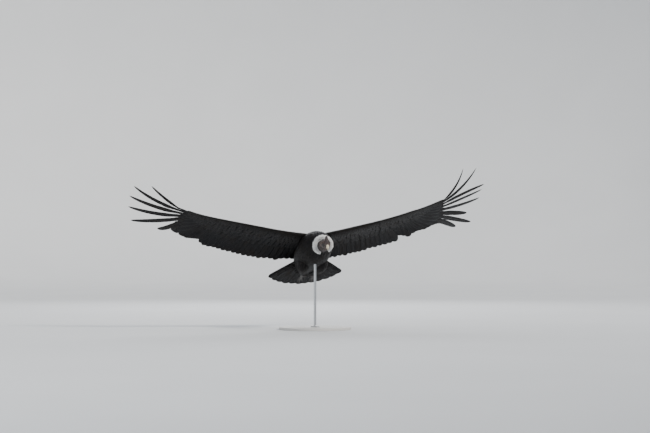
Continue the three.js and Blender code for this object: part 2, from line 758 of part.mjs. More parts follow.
const group = new THREE.Group();
group.add(piece("stand_base", baseShape(), STAND_BASE));
group.add(piece("stand_rod", rodShape(), STAND_ROD));
group.add(buildBird());

export default group;
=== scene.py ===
import math
from functools import partial

import bpy
import numpy as np
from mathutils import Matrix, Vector, noise
from mathutils.bvhtree import BVHTree
from mathutils.kdtree import KDTree


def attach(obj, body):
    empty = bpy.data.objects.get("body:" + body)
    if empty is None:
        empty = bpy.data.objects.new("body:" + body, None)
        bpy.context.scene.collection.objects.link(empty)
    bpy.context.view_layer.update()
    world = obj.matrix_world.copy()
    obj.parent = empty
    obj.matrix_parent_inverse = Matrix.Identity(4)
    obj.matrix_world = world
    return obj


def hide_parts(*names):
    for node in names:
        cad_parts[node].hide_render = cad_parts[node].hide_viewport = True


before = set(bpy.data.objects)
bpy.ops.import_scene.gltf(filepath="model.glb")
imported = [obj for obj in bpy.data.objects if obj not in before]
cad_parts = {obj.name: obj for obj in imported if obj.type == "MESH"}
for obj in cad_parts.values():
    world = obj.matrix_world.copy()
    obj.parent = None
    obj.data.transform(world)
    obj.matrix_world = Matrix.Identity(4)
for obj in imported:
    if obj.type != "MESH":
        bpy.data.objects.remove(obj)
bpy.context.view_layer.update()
rng = np.random.default_rng(1902)

SIDES = {"left": 1, "right": -1}

# Pose of the whole bird on its stand
BIRD_POSITION = np.array([0.0, 43.0, 620.0])
BIRD_PITCH = 27.8  # degrees, nose up
BIRD_ROLL = 2.2  # degrees, left wing up

# Depth of the coat over the skin
TRUNK_COAT = 9
THIGH_COAT = 8
WING_COAT_PLACES = [60, 350, 700, 1100]
WING_COAT = [7, 6, 4, 2.6]

# Trunk: stations from breast to tail coverts
TRUNK_Y = [-262, -235, -170, -60, 80, 200, 300, 372, 400]
TRUNK_Z = [-66, -52, -22, -8, 0, 6, 4, -4, -8]
TRUNK_HALF_WIDTH = [22, 62, 106, 132, 138, 122, 92, 58, 30]
TRUNK_HALF_HEIGHT = [22, 62, 98, 122, 112, 84, 48, 22, 10]

# Neck and ruff
NECK_PATH = [(0, -120, 6), (0, -200, -58), (0, -270, -106), (-4, -345, -130)]
NECK_RADIUS = [66, 54, 46, 31]
RUFF_CENTRE = (0, -272, -106)
RUFF_TURN = (34, -13, -8)  # degrees: lean, tilt and turn
RUFF_RADIUS = 60
RUFF_TUBE = 15
RUFF_TUBE_END = 6.5
RUFF_HALF_ARC = 142  # degrees to each side of its top
RUFF_TAPER = 45  # degrees at each end over which it thins
RUFF_DOWN_DEPTH = 8.5

# Head: stations from the nape to the front of the cere, in the head's own frame
HEAD_CENTRE = (-4, -360, -137)
HEAD_TURN = (34, 3, -4.3)  # degrees: down, roll and yaw
HEAD_Y = [-84, -72, -58, -42, -22, 0, 22, 38, 45]
HEAD_Z = [-13, -11, -8, -4, -1, 0, 0, 0, 0]
HEAD_HALF_WIDTH = [13, 15, 19, 26, 33, 36, 32, 21, 8]
HEAD_HALF_HEIGHT = [17, 19, 23, 29, 35, 37, 33, 22, 8]
BILL_UPPER_PATH = [(-84.5, -7), (-97, -7), (-108, -12), (-115, -22), (-116.5, -37)]  # y, z
BILL_UPPER_HALF_WIDTH = [12, 10.5, 8.5, 5.5, 1]
BILL_UPPER_HALF_HEIGHT = [11.5, 11, 9, 6, 1.2]
BILL_LOWER_PATH = [(-84.5, -23.2), (-95, -22), (-108, -22.6)]  # y, z
BILL_LOWER_HALF_WIDTH = [10, 8.5, 4]
BILL_LOWER_HALF_HEIGHT = [5.6, 5.4, 3]
COMB_OUTLINE = [(-82, -8), (-87, 16), (-82, 42), (-62, 57), (-36, 63), (-10, 56), (4, 30), (2, 0)]
COMB_THICKNESS = 15
EYE_RADIUS = 9
EYE_PLACE = np.array([25.0, -24.0, 9.0])

# Tail: a fan of twelve feathers
TAIL_FEATHERS = 12
TAIL_APEX = (0, 40, 10)
TAIL_TURN = (-5, -1.7, 0)  # degrees: droop and roll
TAIL_HALF_ANGLE = 43.5  # degrees
TAIL_INNER_RADIUS = 130
TAIL_RADIUS = 487
TAIL_CORNER_SHORTER = 38
TAIL_ARCH = 4

# Legs, folded back under the tail
THIGH_PATH = [(70, 0, -40), (74, 100, -80), (66, 186, -88), (60, 222, -88)]
THIGH_RADIUS = [34, 47, 32, 16]
TARSUS_PATH = [(60, 206, -88), (56, 256, -84), (50, 310, -74)]
TARSUS_RADIUS = [12, 9, 11]
TOE_ROOT = np.array([50.0, 310.0, -74.0])
TOE_LENGTHS = [74, 98, 70]
TOE_SPREADS = [-16, 0, 16]  # degrees
TOE_RADIUS = 7.5
TOE_SHARES = [-0.08, 0.25, 0.5, 0.76, 1]  # along a toe and its claw, as parts of the length
TOE_RISES = [0, 0, 0.04, 0.02, -0.1]  # over its root, as parts of the length
TOE_TAPER = [1, 1, 0.85, 0.6, 0.16]  # of its radius
HALLUX_OFFSET = np.array([-8.0, -12.0, -4.0])
HALLUX_LENGTH = 38
HALLUX_SPREAD = -70  # degrees

# Wing: places along the leading edge (s) from the body's middle
WING_START = np.array([100.0, -130.0, 72.0])
S_BURIED = 40
S_ROOT = 100
S_SLOTS = 1100
ANGLE_PLACES = [100, 400, 750, 1100]
CHORD_PLACES = [100, 250, 500, 750, 1100]
CHORDS = [400, 430, 445, 425, 360]
THICKNESS_PLACES = [100, 350, 620, 850, 1100]
THICKNESSES = [52, 48, 34, 20, 9]
CAMBER_PLACES = [100, 600, 1100]
CAMBERS = [0.075, 0.06, 0.03]
THICKEST_AT = 0.2  # part of the chord
EDGE_THICKNESS = 1.4
S_SPLAY_START = 750
FEATHER_WIDTH = 40.8
FEATHER_NOTCH = 12
S_FIRST_FEATHER = 120
ROW_FEATHERS = 24  # flight feathers behind the slots, inner primaries with them
SLOT_COUNT = 8
SLOT_SPREAD = 1.4  # over 1, the free primaries crowd towards the leading edge
FINGER_NARROW = [0.6, 0.6, 0.6, 0.7, 0.85, 0.75, 0.75, 0.75]  # width at the slots, of the widest
FINGER_WIDENS_BY = 0.25  # part of its free length where it has its full width
FINGER_TWISTED_BY = 0.12  # and where it has its full twist
# Each wing: angles in degrees at ANGLE_PLACES, millimetres by which its rear spreads outwards at the
# slots, millimetres by which flight feathers are shorter than the row, by number, and the free
# primaries from the front one back: length, sweep, rise, curl, twist and width
WINGS = {
    "left": {
        "dihedral": [9.3, 10.2, 12.7, 21.8],
        "incidence": [2.7, 1.3, 1.8, 4.9],
        "sweep": [3, 6, 9, 0],
        "splay": 43,
        "short": {
            4: -17, 5: -7, 6: -9, 7: -14, 8: -11, 9: 5, 10: -2, 11: -6, 12: -11,
            13: -16, 14: -22, 15: 60, 16: 21, 17: -24, 18: 9, 19: 20, 20: 14,
        },
        "fingers": [
            [331, 10, 38, 29, -22, 34],
            [429, 6, 29.7, 23.5, -16, 38],
            [431, -4, 28.7, -6.8, -7, 44],
            [441, -11, 24.3, 2.1, 2, 48],
            [442, -18, 18.7, 7.4, 2, 50],
            [333, -30, 14.9, -2.6, -8, 54],
            [451, -37, 11, -1.2, 0, 52],
            [320, -47, 12, -4.2, 0, 52],
        ],
    },
    "right": {
        "dihedral": [8.4, 11.6, 10.6, 29.9],
        "incidence": [1.1, 3.1, 1.8, 1.3],
        "sweep": [3, 6, 7, -10],
        "splay": 24,
        "short": {2: -14, 5: -6, 15: -4, 16: -8, 17: 12, 18: 64, 19: 36, 20: 22, 21: 6, 22: -8, 23: -6},
        "fingers": [
            [281, -8, 43.1, 11.9, -12, 34],
            [412, -12, 29, 20.2, -9, 42],
            [430, -20, 25, 14.2, -4, 48],
            [436, -27, 18.6, 14.4, 0, 50],
            [416, -34, 12.6, 8.4, 0, 50],
            [243, -57, 2, 22.6, 0, 48],
            [100, -77, 2.5, 6, 0, 68],
        ],
    },
}

# Stand
BASE_RADIUS = 280
BASE_THICKNESS = 20
ROD_RADIUS = 10
ROD_FOOT_RADIUS = 34
ROD_FOOT_HEIGHT = 8
ROD_TOP = 528

BAKE_PATCH = 0.003  # width of a feather's patch on the baking map


# Curves and vectors

SIDEWAYS = np.array([1.0, 0, 0])
UPWARDS = np.array([0, 0, 1.0])


def smooth(x, low=0.0, high=1.0):
    t = np.clip((np.asarray(x, float) - low) / (high - low), 0, 1)
    return t * t * (3 - 2 * t)


def mix(a, b, t):
    return a + (b - a) * t


def stacked(x, y, z):
    """Points from coordinates that may be plain or arrays."""
    return np.stack(np.broadcast_arrays(x, y, z), -1)


def dot(a, b):
    return (a * b).sum(-1, keepdims=True)


def unit(v):
    return v / np.maximum(np.linalg.norm(v, axis=-1, keepdims=True), 1e-9)


def square_to(v, axis):
    """The part of v square to a unit axis, at length 1."""
    return unit(v - dot(v, axis) * axis)


def spline(places, values, at):
    """Curve through values at given places, with smooth changes of slope."""
    places = np.asarray(places, float)
    values = np.asarray(values, float)
    last = len(places) - 1
    before = np.maximum(np.arange(last + 1) - 1, 0)
    after = np.minimum(np.arange(last + 1) + 1, last)
    gaps = places[after] - places[before]
    x = np.clip(at, places[0], places[-1])
    i = np.clip(np.searchsorted(places, x) - 1, 0, last - 1)
    width = places[i + 1] - places[i]
    t = (x - places[i]) / width
    if values.ndim == 2:
        gaps, width, t = gaps[:, None], width[..., None], t[..., None]
    slopes = (values[after] - values[before]) / gaps
    rise = values[i + 1] - values[i]
    start = slopes[i] * width
    end = slopes[i + 1] * width
    return values[i] + t * (start + t * (3 * rise - 2 * start - end + t * (start + end - 2 * rise)))


def along_path(values, t):
    """Spline through values spaced evenly from 0 to 1."""
    return spline(np.linspace(0, 1, len(values)), values, t)


def ease(places, values, at):
    """Value that eases from each place to the next."""
    places = np.asarray(places, float)
    values = np.asarray(values, float)
    i = np.clip(np.searchsorted(places, at) - 1, 0, len(places) - 2)
    return mix(values[i], values[i + 1], smooth((at - places[i]) / (places[i + 1] - places[i])))


def turned(x, y, z):
    """Rotation about X, Y and Z in degrees, the Z turn done first."""
    a, b, c = np.radians([x, y, z])
    about_x = np.array([[1, 0, 0], [0, math.cos(a), -math.sin(a)], [0, math.sin(a), math.cos(a)]])
    about_y = np.array([[math.cos(b), 0, math.sin(b)], [0, 1, 0], [-math.sin(b), 0, math.cos(b)]])
    about_z = np.array([[math.cos(c), -math.sin(c), 0], [math.sin(c), math.cos(c), 0], [0, 0, 1]])
    return about_x @ about_y @ about_z


def circle(sides):
    """Angles in even steps round a circle."""
    return np.linspace(0, 2 * np.pi, sides, endpoint=False)


def sided(points, side):
    """Points given for the left side, or their mirror images where side is -1."""
    return np.asarray(points, float) * [side, 1, 1]


def rotated(v, axis, angle):
    """v turned about unit axes by angles in radians."""
    angle = np.asarray(angle)[..., None]
    across = np.cross(axis, v)
    return v * np.cos(angle) + across * np.sin(angle) + axis * dot(axis, v) * (1 - np.cos(angle))


BIRD = turned(-BIRD_PITCH, -BIRD_ROLL, 0)
HEAD = turned(*HEAD_TURN)
RUFF = turned(*RUFF_TURN)
TAIL = turned(*TAIL_TURN)


def to_part(points):
    """Bird's millimetres to the part's metres."""
    return (np.asarray(points) @ BIRD.T + BIRD_POSITION) / 1000


def to_bird(points):
    return (np.asarray(points) * 1000 - BIRD_POSITION) @ BIRD


def from_head(points):
    return np.asarray(points) @ HEAD.T + HEAD_CENTRE


def to_head(points):
    return (np.asarray(points) - HEAD_CENTRE) @ HEAD


def to_ruff(points):
    return (points - RUFF_CENTRE) @ RUFF


# Meshes

def new_object(name, points, quads=(), tris=()):
    """Object from points in the part's metres."""
    quads = np.asarray(quads, np.int32).reshape(-1, 4)
    tris = np.asarray(tris, np.int32).reshape(-1, 3)
    corners = np.concatenate([quads.ravel(), tris.ravel()])
    starts = np.concatenate([np.arange(len(quads)) * 4, len(quads) * 4 + np.arange(len(tris)) * 3])
    mesh = bpy.data.meshes.new(name)
    mesh.vertices.add(len(points))
    mesh.vertices.foreach_set("co", np.asarray(points, np.float32).ravel())
    mesh.loops.add(len(corners))
    mesh.loops.foreach_set("vertex_index", corners)
    mesh.polygons.add(len(starts))
    mesh.polygons.foreach_set("loop_start", starts.astype(np.int32))
    mesh.update(calc_edges=True)
    mesh.shade_smooth()
    obj = bpy.data.objects.new(name, mesh)
    bpy.context.scene.collection.objects.link(obj)
    return obj


def read(items, name, kind=np.float32, each=1):
    """One property of all items of a mesh."""
    found = np.zeros(len(items) * each, kind)
    items.foreach_get(name, found)
    return found


def vectors_of(mesh, kind):
    """A mesh's points ("co") or normals ("normal")."""
    return read(mesh.vertices, kind, each=3).reshape(-1, 3).astype(float)


def points_of(obj):
    return vectors_of(obj.data, "co")


def in_bird(obj):
    """An object's points and normals in the bird's frame."""
    return to_bird(points_of(obj)), vectors_of(obj.data, "normal") @ BIRD


def move_points(obj, points):
    """Moves an object's points to places in the bird's frame."""
    obj.data.vertices.foreach_set("co", to_part(points).astype(np.float32).ravel())
    obj.data.update()


def add_values(mesh, name, values):
    """Stores one number for each vertex."""
    attribute = mesh.attributes.new(name, "FLOAT", "POINT")
    attribute.data.foreach_set("value", np.asarray(values, np.float32))


def add_uv(mesh, name, at_corners):
    layer = mesh.uv_layers.new(name=name)
    layer.data.foreach_set("uv", np.asarray(at_corners, np.float32).ravel())


def tube_faces(rings, sides):
    """Quads between rings of points, and triangles from each end ring to its middle point."""
    i = np.arange(rings - 1)[:, None] * sides
    j = np.arange(sides)
    k = (j + 1) % sides
    quads = np.stack([i + j, i + k, i + sides + k, i + sides + j], -1).reshape(-1, 4)
    last = (rings - 1) * sides
    first_middle = rings * sides
    start = np.stack([k, j, np.full(sides, first_middle)], -1)
    end = np.stack([last + j, last + k, np.full(sides, first_middle + 1)], -1)
    return quads, np.concatenate([start, end])


def loft(name, rings):
    """Closed object through rings of points in the bird's frame."""
    rings = np.asarray(rings)
    quads, tris = tube_faces(*rings.shape[:2])
    points = np.concatenate([rings.reshape(-1, 3), rings[:1].mean(1), rings[-1:].mean(1)])
    corners = points[np.concatenate([quads[:, :3], quads[:, [0, 2, 3]], tris])]
    volume = (corners[:, 0] * np.cross(corners[:, 1], corners[:, 2])).sum()
    if volume < 0:
        quads, tris = quads[:, ::-1], tris[:, ::-1]
    return new_object(name, to_part(points), quads, tris)


def ovals(middles, across, up, half_widths, half_heights, sides):
    """Oval rings of points about middles, in the planes of two directions."""
    angle = circle(sides)[None, :, None]
    across, up = (np.broadcast_to(way, middles.shape)[:, None] for way in (across, up))
    wide = half_widths[:, None, None] * np.cos(angle) * across
    high = half_heights[:, None, None] * np.sin(angle) * up
    return middles[:, None] + wide + high


def ovals_round(middles, half_widths, half_heights, sides):
    """Oval rings square to the line of their middles."""
    tangent = unit(np.gradient(middles, axis=0))
    across = square_to(SIDEWAYS, tangent)
    return ovals(middles, across, np.cross(tangent, across), half_widths, half_heights, sides)


def tube_rings(path, radii, rings, sides, grow=0.0):
    t = np.linspace(0, 1, rings)
    radius = along_path(radii, t) + grow
    return ovals_round(along_path(path, t), radius, radius, sides)


def baked_down(obj):
    """Applies an object's modifiers."""
    old = obj.data
    graph = bpy.context.evaluated_depsgraph_get()
    mesh = bpy.data.meshes.new_from_object(obj.evaluated_get(graph))
    obj.modifiers.clear()
    obj.data = mesh
    bpy.data.meshes.remove(old)
    return obj


def merged(objects):
    """Objects joined into the first, each body still apart."""
    with bpy.context.temp_override(active_object=objects[0], selected_editable_objects=objects):
        bpy.ops.object.join()
    return objects[0]


def remeshed(objects, voxel, smoothing):
    """One even surface round several closed objects. The voxel is in millimetres."""
    obj = merged(objects)
    remesh = obj.modifiers.new("remesh", "REMESH")
    remesh.mode = "VOXEL"
    remesh.voxel_size = voxel / 1000
    obj.modifiers.new("smooth", "SMOOTH").iterations = smoothing
    return baked_down(obj)


def unite(obj, other):
    """Adds another closed object's body to one, and removes the other."""
    union = obj.modifiers.new("union", "BOOLEAN")
    union.operation = "UNION"
    union.solver = "MANIFOLD"
    union.object = other
    baked_down(obj)
    mesh = other.data
    bpy.data.objects.remove(other)
    bpy.data.meshes.remove(mesh)


# Surfaces of the bird. The last argument is the height over the solid's own surface.

def trunk_surface(y, angle, height):
    x = (spline(TRUNK_Y, TRUNK_HALF_WIDTH, y) + height) * np.cos(angle)
    z = spline(TRUNK_Y, TRUNK_Z, y) + (spline(TRUNK_Y, TRUNK_HALF_HEIGHT, y) + height) * np.sin(angle)
    return stacked(x, y, z)


def path_surface(path, radii, t, angle, height):
    """Surface of a tube along a path, where t is the share of its length."""
    step = 0.01
    inside = np.clip(t, step, 1 - step)
    slope = (along_path(path, inside + step) - along_path(path, inside - step)) / (2 * step)
    middle = along_path(path, inside) + slope * (t - inside)[..., None]
    across = square_to(SIDEWAYS, unit(slope))
    radius = (along_path(radii, t) + height)[..., None]
    angle = np.asarray(angle)[..., None]
    return middle + radius * (np.cos(angle) * across + np.sin(angle) * np.cross(unit(slope), across))


def ruff_thinning(degrees):
    """0 over most of the ruff's arc, rising to 1 at its ends."""
    return smooth(np.abs(degrees), RUFF_HALF_ARC - RUFF_TAPER, RUFF_HALF_ARC)


def ruff_surface(degrees, around, height):
    angle = np.radians(degrees)
    outward = stacked(np.sin(angle), 0.0, np.cos(angle))
    tube = (mix(RUFF_TUBE, RUFF_TUBE_END, ruff_thinning(degrees)) + height)[..., None]
    round_tube = np.cos(around)[..., None] * outward + np.sin(around)[..., None] * np.array([0.0, -1.0, 0.0])
    return (outward * RUFF_RADIUS + tube * round_tube) @ RUFF.T + RUFF_CENTRE


def tail_point(place, radius, height):
    """Point of the tail's fan: place runs from -1 on the bird's right to 1."""
    angle = np.radians(TAIL_HALF_ANGLE) * place
    drop = TAIL_ARCH * place**2 * radius / TAIL_RADIUS
    flat = stacked(radius * np.sin(angle), radius * np.cos(angle), height - drop)
    return flat @ TAIL.T + TAIL_APEX


def chord_at(s):
    return spline(CHORD_PLACES, CHORDS, s)


def thickness_at(s):
    return spline(THICKNESS_PLACES, THICKNESSES, s)


def finger_share(number):
    """Part of the chord at which a free primary is rooted."""
    return ((number + 0.5) / SLOT_COUNT) ** SLOT_SPREAD


class Wing:
    """One wing: its angles along the leading edge, and its free primaries."""

    STRIDE = 10

    def __init__(self, name, numbers):
        self.name = name
        self.side = SIDES[name]
        for key, value in numbers.items():
            setattr(self, key, value)
        self.places = np.arange(S_ROOT, S_SLOTS + 1, self.STRIDE)
        ways = self.outward(self.places)
        strides = (ways[:-1] + ways[1:]) * self.STRIDE / 2
        self.leads = WING_START + np.concatenate([np.zeros((1, 3)), np.cumsum(strides, 0)])

    def outward(self, s):
        rise = np.radians(ease(ANGLE_PLACES, self.dihedral, s))
        forward = np.radians(ease(ANGLE_PLACES, self.sweep, s))
        level = np.cos(forward)
        return np.stack([np.cos(rise) * level, -np.sin(forward), np.sin(rise) * level], -1)

    def frame(self, s):
        """Leading edge, and the ways outwards, backwards and up, for a left wing."""
        outward = self.outward(s)
        tilt = np.radians(ease(ANGLE_PLACES, self.incidence, s))
        back = square_to(np.stack([0 * tilt, np.cos(tilt), -np.sin(tilt)], -1), outward)
        beyond = s - np.clip(s, S_ROOT, S_SLOTS)
        lead = spline(self.places, self.leads, s) + beyond[..., None] * outward
        return lead, outward, back, np.cross(outward, back)

    def half_thickness(self, s, u):
        x = u / THICKEST_AT
        profile = np.sqrt(x) * np.exp((1 - x * x) / 4)
        return (thickness_at(s) * profile + EDGE_THICKNESS * np.sqrt(u)) / 2

    def point(self, s, u, level=0.0, height=0.0, longer=0.0):
        """Point at a part u of the chord; level is 1 on top, -1 underneath."""
        s, u, level, height, longer = np.broadcast_arrays(s, np.maximum(u, 0.0), level, height, longer)
        s = s.astype(float)
        lead, outward, back, up = self.frame(s)
        camber = chord_at(s) * spline(CAMBER_PLACES, CAMBERS, s) * 4 * u * (1 - u)
        rise = camber + level * (self.half_thickness(s, u) + height)
        spread = np.clip((s - S_SPLAY_START) / (S_SLOTS - S_SPLAY_START), 0, 1) ** 2
        point = lead + back * (chord_at(s) * u + longer)[..., None] + up * rise[..., None]
        return self.mirrored(point + outward * (self.splay * spread * u)[..., None])

    def over(self, level, s, u, height):
        return self.point(s, u, level, height)

    def mirrored(self, points):
        return sided(points, self.side)

    def finger(self, number, t, base):
        """Middle line, and the ways back and up, of a free primary: t from 0 at the slots to 1.

        Below 0 the line runs back to the feather's root at base, a place and part of the chord.
        """
        length, sweep, rise, curl, twist, _ = self.fingers[number]
        slots = np.float64(S_SLOTS)
        lead, outward, back, _ = self.frame(slots)
        share = finger_share(number)
        start = lead + back * chord_at(slots) * share + outward * self.splay * share
        angle = np.radians(rise + curl * np.maximum(t, 0))
        forward = math.radians(sweep)
        ways = [np.cos(angle) * math.cos(forward), -np.cos(angle) * math.sin(forward), np.sin(angle)]
        ways = np.stack(ways, -1)
        strides = (ways[1:] + ways[:-1]) / 2 * np.diff(t)[:, None] * length
        path = np.concatenate([np.zeros((1, 3)), np.cumsum(strides, 0)])
        path += start - path[np.searchsorted(t, 0)]
        inner = 1 + t[t < 0]
        step = start - self.mirrored(self.point(slots, share))
        inside = self.point(mix(base[0], S_SLOTS, inner), mix(base[1], share, inner))
        path[t < 0] = self.mirrored(inside) + step * smooth(inner)[:, None]
        along = unit(np.gradient(path, axis=0))
        twisting = math.radians(twist) * smooth(t, -0.1, FINGER_TWISTED_BY)
        return path, along, rotated(square_to(back, along), along, twisting)


wings = [Wing(name, numbers) for name, numbers in WINGS.items()]


# Feathers: closed vanes, many in one mesh

class Coat:
    """Gathers vanes and makes one mesh of them, with what the materials and the bake need."""

    def __init__(self):
        self.parts = []
        self.count = 0

    def add(self, points, quads, tris, **rest):
        """points are (count, 3), vane their places on its map; the bake's are for each face's corners."""
        self.parts.append({"points": points, "quads": quads + self.count, "tris": tris + self.count, **rest})
        self.count += len(points)

    def joined(self, *keys):
        return np.concatenate([part[key] for key in keys for part in self.parts])

    def build(self, name, material, replaces=()):
        quads, tris = self.joined("quads"), self.joined("tris")
        obj = new_object(name, to_part(self.joined("points")), quads, tris)
        add_uv(obj.data, "OFBake", self.joined("bake_quads", "bake_tris"))
        add_uv(obj.data, "vane", self.joined("vane")[np.concatenate([quads.ravel(), tris.ravel()])])
        for key in ("tone", "wear"):
            add_values(obj.data, key, self.joined(key))
        finished(obj, material, replaces)


def finished(obj, material, replaces=()):
    """Gives an object its one material and body, and hides the nodes that it replaces."""
    obj.data.materials.clear()
    obj.data.materials.append(material)
    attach(obj, "root")
    if replaces:
        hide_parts(*replaces)
    return obj


class Section:
    """Cross-section of a vane: places across it from -1 to 1, over the top and back below."""

    def __init__(self, top, ridge):
        below = top[-2:0:-1]
        self.across = np.array([*top, *below])
        self.level = np.array([1.0] * len(top) + [-1.0] * len(below))
        self.level[[0, len(top) - 1]] = 0
        self.ridge = ridge * np.exp(-((self.across / 0.12) ** 2)) * self.level
        self.sides = len(self.across)


FINE_SECTION = Section([-1, -0.78, -0.5, -0.22, -0.04, 0, 0.04, 0.22, 0.5, 0.78, 1], 1.3)
PLAIN_SECTION = Section([-1, -0.5, 0, 0.5, 1], 0.6)
SMALL_SECTION = Section([-1, -0.35, 0.35, 1], 0.0)
TUFT_SECTION = Section([-1, 0, 1], 0.0)


def vane_faces(rows, sides):
    """Quads and the triangles that close the two ends of a vane."""
    one_end = np.arange(1, sides - 1)
    fan = np.stack([0 * one_end, one_end, one_end + 1], -1)
    return tube_faces(rows, sides)[0], np.concatenate([fan[:, ::-1], fan + (rows - 1) * sides])


def unrolled(section, share, bake, quads, tris):
    """Places on the baking map of the corners of the vanes' quads and triangles."""
    x, sides = section.across, section.sides
    patch = bake.shape[1] == 2
    if patch:
        bake = np.concatenate([bake, bake + BAKE_PATCH], 1)
        across = (x + 1) / 2
    else:
        across = np.where(np.arange(sides) <= sides // 2, x + 1, 3 - x) / 4
    places = np.stack([np.broadcast_to(across, share.shape), share], -1)
    places = mix(bake[:, None, None, :2], bake[:, None, None, 2:], places).reshape(len(bake), -1, 2)
    at_quads = places[:, quads]
    if not patch:
        at_quads[:, sides - 1 :: sides, 1:3, 0] = bake[:, 2, None, None]
    return at_quads.reshape(-1, 2), places[:, tris].reshape(-1, 2)


EDGE_THINNING = 0.55  # part of its thickness that a vane loses towards its edges


def vanes(coat, section, centre, normal, halves, thick, cup, tone, wear, bake, slant=0.0):
    """Adds vanes to a coat.

    centre and normal are (vanes, rows, 3); halves (vanes, rows, 2) are the widths to the two sides.
    thick, cup and slant are (vanes, rows) or plain; tone is (vanes, rows, sides) or plain.
    bake is each vane's box on the baking map: (vanes, 2) for a small patch there, or (vanes, 4).
    """
    count, rows = centre.shape[:2]
    sides = section.sides
    shape = (count, rows, sides)
    along = unit(np.gradient(centre, axis=1))
    normal = square_to(normal, along)
    side = np.cross(along, normal)
    x = section.across
    reach = np.where(x < 0, halves[..., :1], halves[..., 1:]) * x
    thick, cup, slant = (np.broadcast_to(v, (count, rows))[..., None] for v in (thick, cup, slant))
    level = section.level * (1 - EDGE_THINNING * x * x) + section.ridge
    rise = thick / 2 * level - cup * np.abs(reach) * x * x
    points = centre[:, :, None] + side[:, :, None] * reach[..., None]
    points = points + normal[:, :, None] * rise[..., None]
    points = points + along[:, :, None] * (slant * np.abs(reach))[..., None]
    length = np.cumsum(np.linalg.norm(np.diff(centre, axis=1, prepend=centre[:, :1]), axis=-1), 1)
    down_vane = np.broadcast_to(length[..., None], shape)
    share = down_vane / np.maximum(length[:, -1:, None], 1e-6)
    quads, tris = vane_faces(rows, sides)
    bake_quads, bake_tris = unrolled(section, share, bake, quads, tris)
    offsets = (np.arange(count) * rows * sides)[:, None, None]
    coat.add(
        points.reshape(-1, 3),
        (quads[None] + offsets).reshape(-1, 4),
        (tris[None] + offsets).reshape(-1, 3),
        vane=np.stack([reach, down_vane], -1).reshape(-1, 2) / 100,
        bake_quads=bake_quads,
        bake_tris=bake_tris,
        tone=np.broadcast_to(tone, shape).reshape(-1),
        wear=np.broadcast_to(np.reshape(wear, (-1, 1, 1)), shape).reshape(-1),
    )


def outline(t, narrow, widest, blunt):
    """Half-width of a feather at shares of its length, as a part of the greatest."""
    base = mix(narrow, 1, smooth(t, 0, widest))
    tip = np.sqrt(np.clip(1 - np.clip((t - widest) / (1 - widest), 0, 1) ** blunt, 0, 1))
    return base * np.maximum(tip, 0.1)


def rolled(normal, centre, roll):
    """Normals square to the feathers' middle lines, turned about those by angles in radians."""
    along = unit(np.gradient(centre, axis=1))
    return rotated(square_to(normal, along), along, roll)


ROW_SHARES = {
    5: np.array([0, 0.35, 0.65, 0.88, 1]),
    6: np.array([0, 0.28, 0.55, 0.78, 0.93, 1]),
    8: np.array([0, 0.18, 0.36, 0.54, 0.7, 0.84, 0.95, 1]),
}


def lay(coat, surface, a, b, da, db, length, width, heights, bake, tone=0.0, rows=6, section=SMALL_SECTION,
        narrow=0.5, widest=0.6, blunt=3, thick=0.5, cup=0.05, roll=0.045):
    """Lays feathers on a surface(a, b, height), along the way (da, db) for each millimetre."""
    t = ROW_SHARES[rows][None]
    down = length[:, None] * t
    low, high = (np.reshape(height, (-1, 1)) for height in heights)
    height = mix(low, high, t**0.8)
    at_a = a[:, None] + np.reshape(da, (-1, 1)) * down
    at_b = b[:, None] + np.reshape(db, (-1, 1)) * down
    centre = surface(at_a, at_b, height)
    normal = unit(surface(at_a, at_b, height + 1) - centre)
    normal = rolled(normal, centre, rng.normal(0, roll, (len(a), 1)) + 0 * t)
    half = width[:, None] / 2 * outline(t, narrow, widest, blunt)
    uneven = rng.uniform(0.9, 1.1, (len(a), 1))
    halves = np.stack([half * uneven, half * (2 - uneven)], -1)
    wear = rng.uniform(0, 1, len(a))
    slant = 0.25 * (1 - t**3)
    vanes(coat, section, centre, normal, halves, thick * mix(1, 0.5, t), cup, tone, wear, bake, slant)


JITTER = 0.22  # disorder of the feathers' places, in spacings


def grid(a_low, a_high, a_step, b_low, b_high, b_step):
    """Staggered places between limits, in rows across b, with a little disorder."""
    rows = max(int(round((b_high - b_low) / b_step)), 1)
    per_row = max(int(round((a_high - a_low) / a_step)), 1)
    j, i = np.meshgrid(np.arange(rows), np.arange(per_row), indexing="ij")
    i = i + 0.5 * (j % 2) + rng.uniform(-JITTER, JITTER, i.shape)
    j = j + rng.uniform(-JITTER, JITTER, j.shape)
    a = mix(a_low, a_high, (i + 0.25) / per_row)
    b = mix(b_low, b_high, (j + 0.5) / rows)
    return a.ravel(), b.ravel()


# Materials

def rgb(red, green, blue):
    return (red, green, blue, 1.0)


BLACK = rgb(0.0055, 0.0055, 0.0066)
WORN_BLACK = rgb(0.014, 0.0112, 0.0096)
SILVER = rgb(0.66, 0.66, 0.65)
DOWN_WHITE = rgb(0.95, 0.945, 0.93)


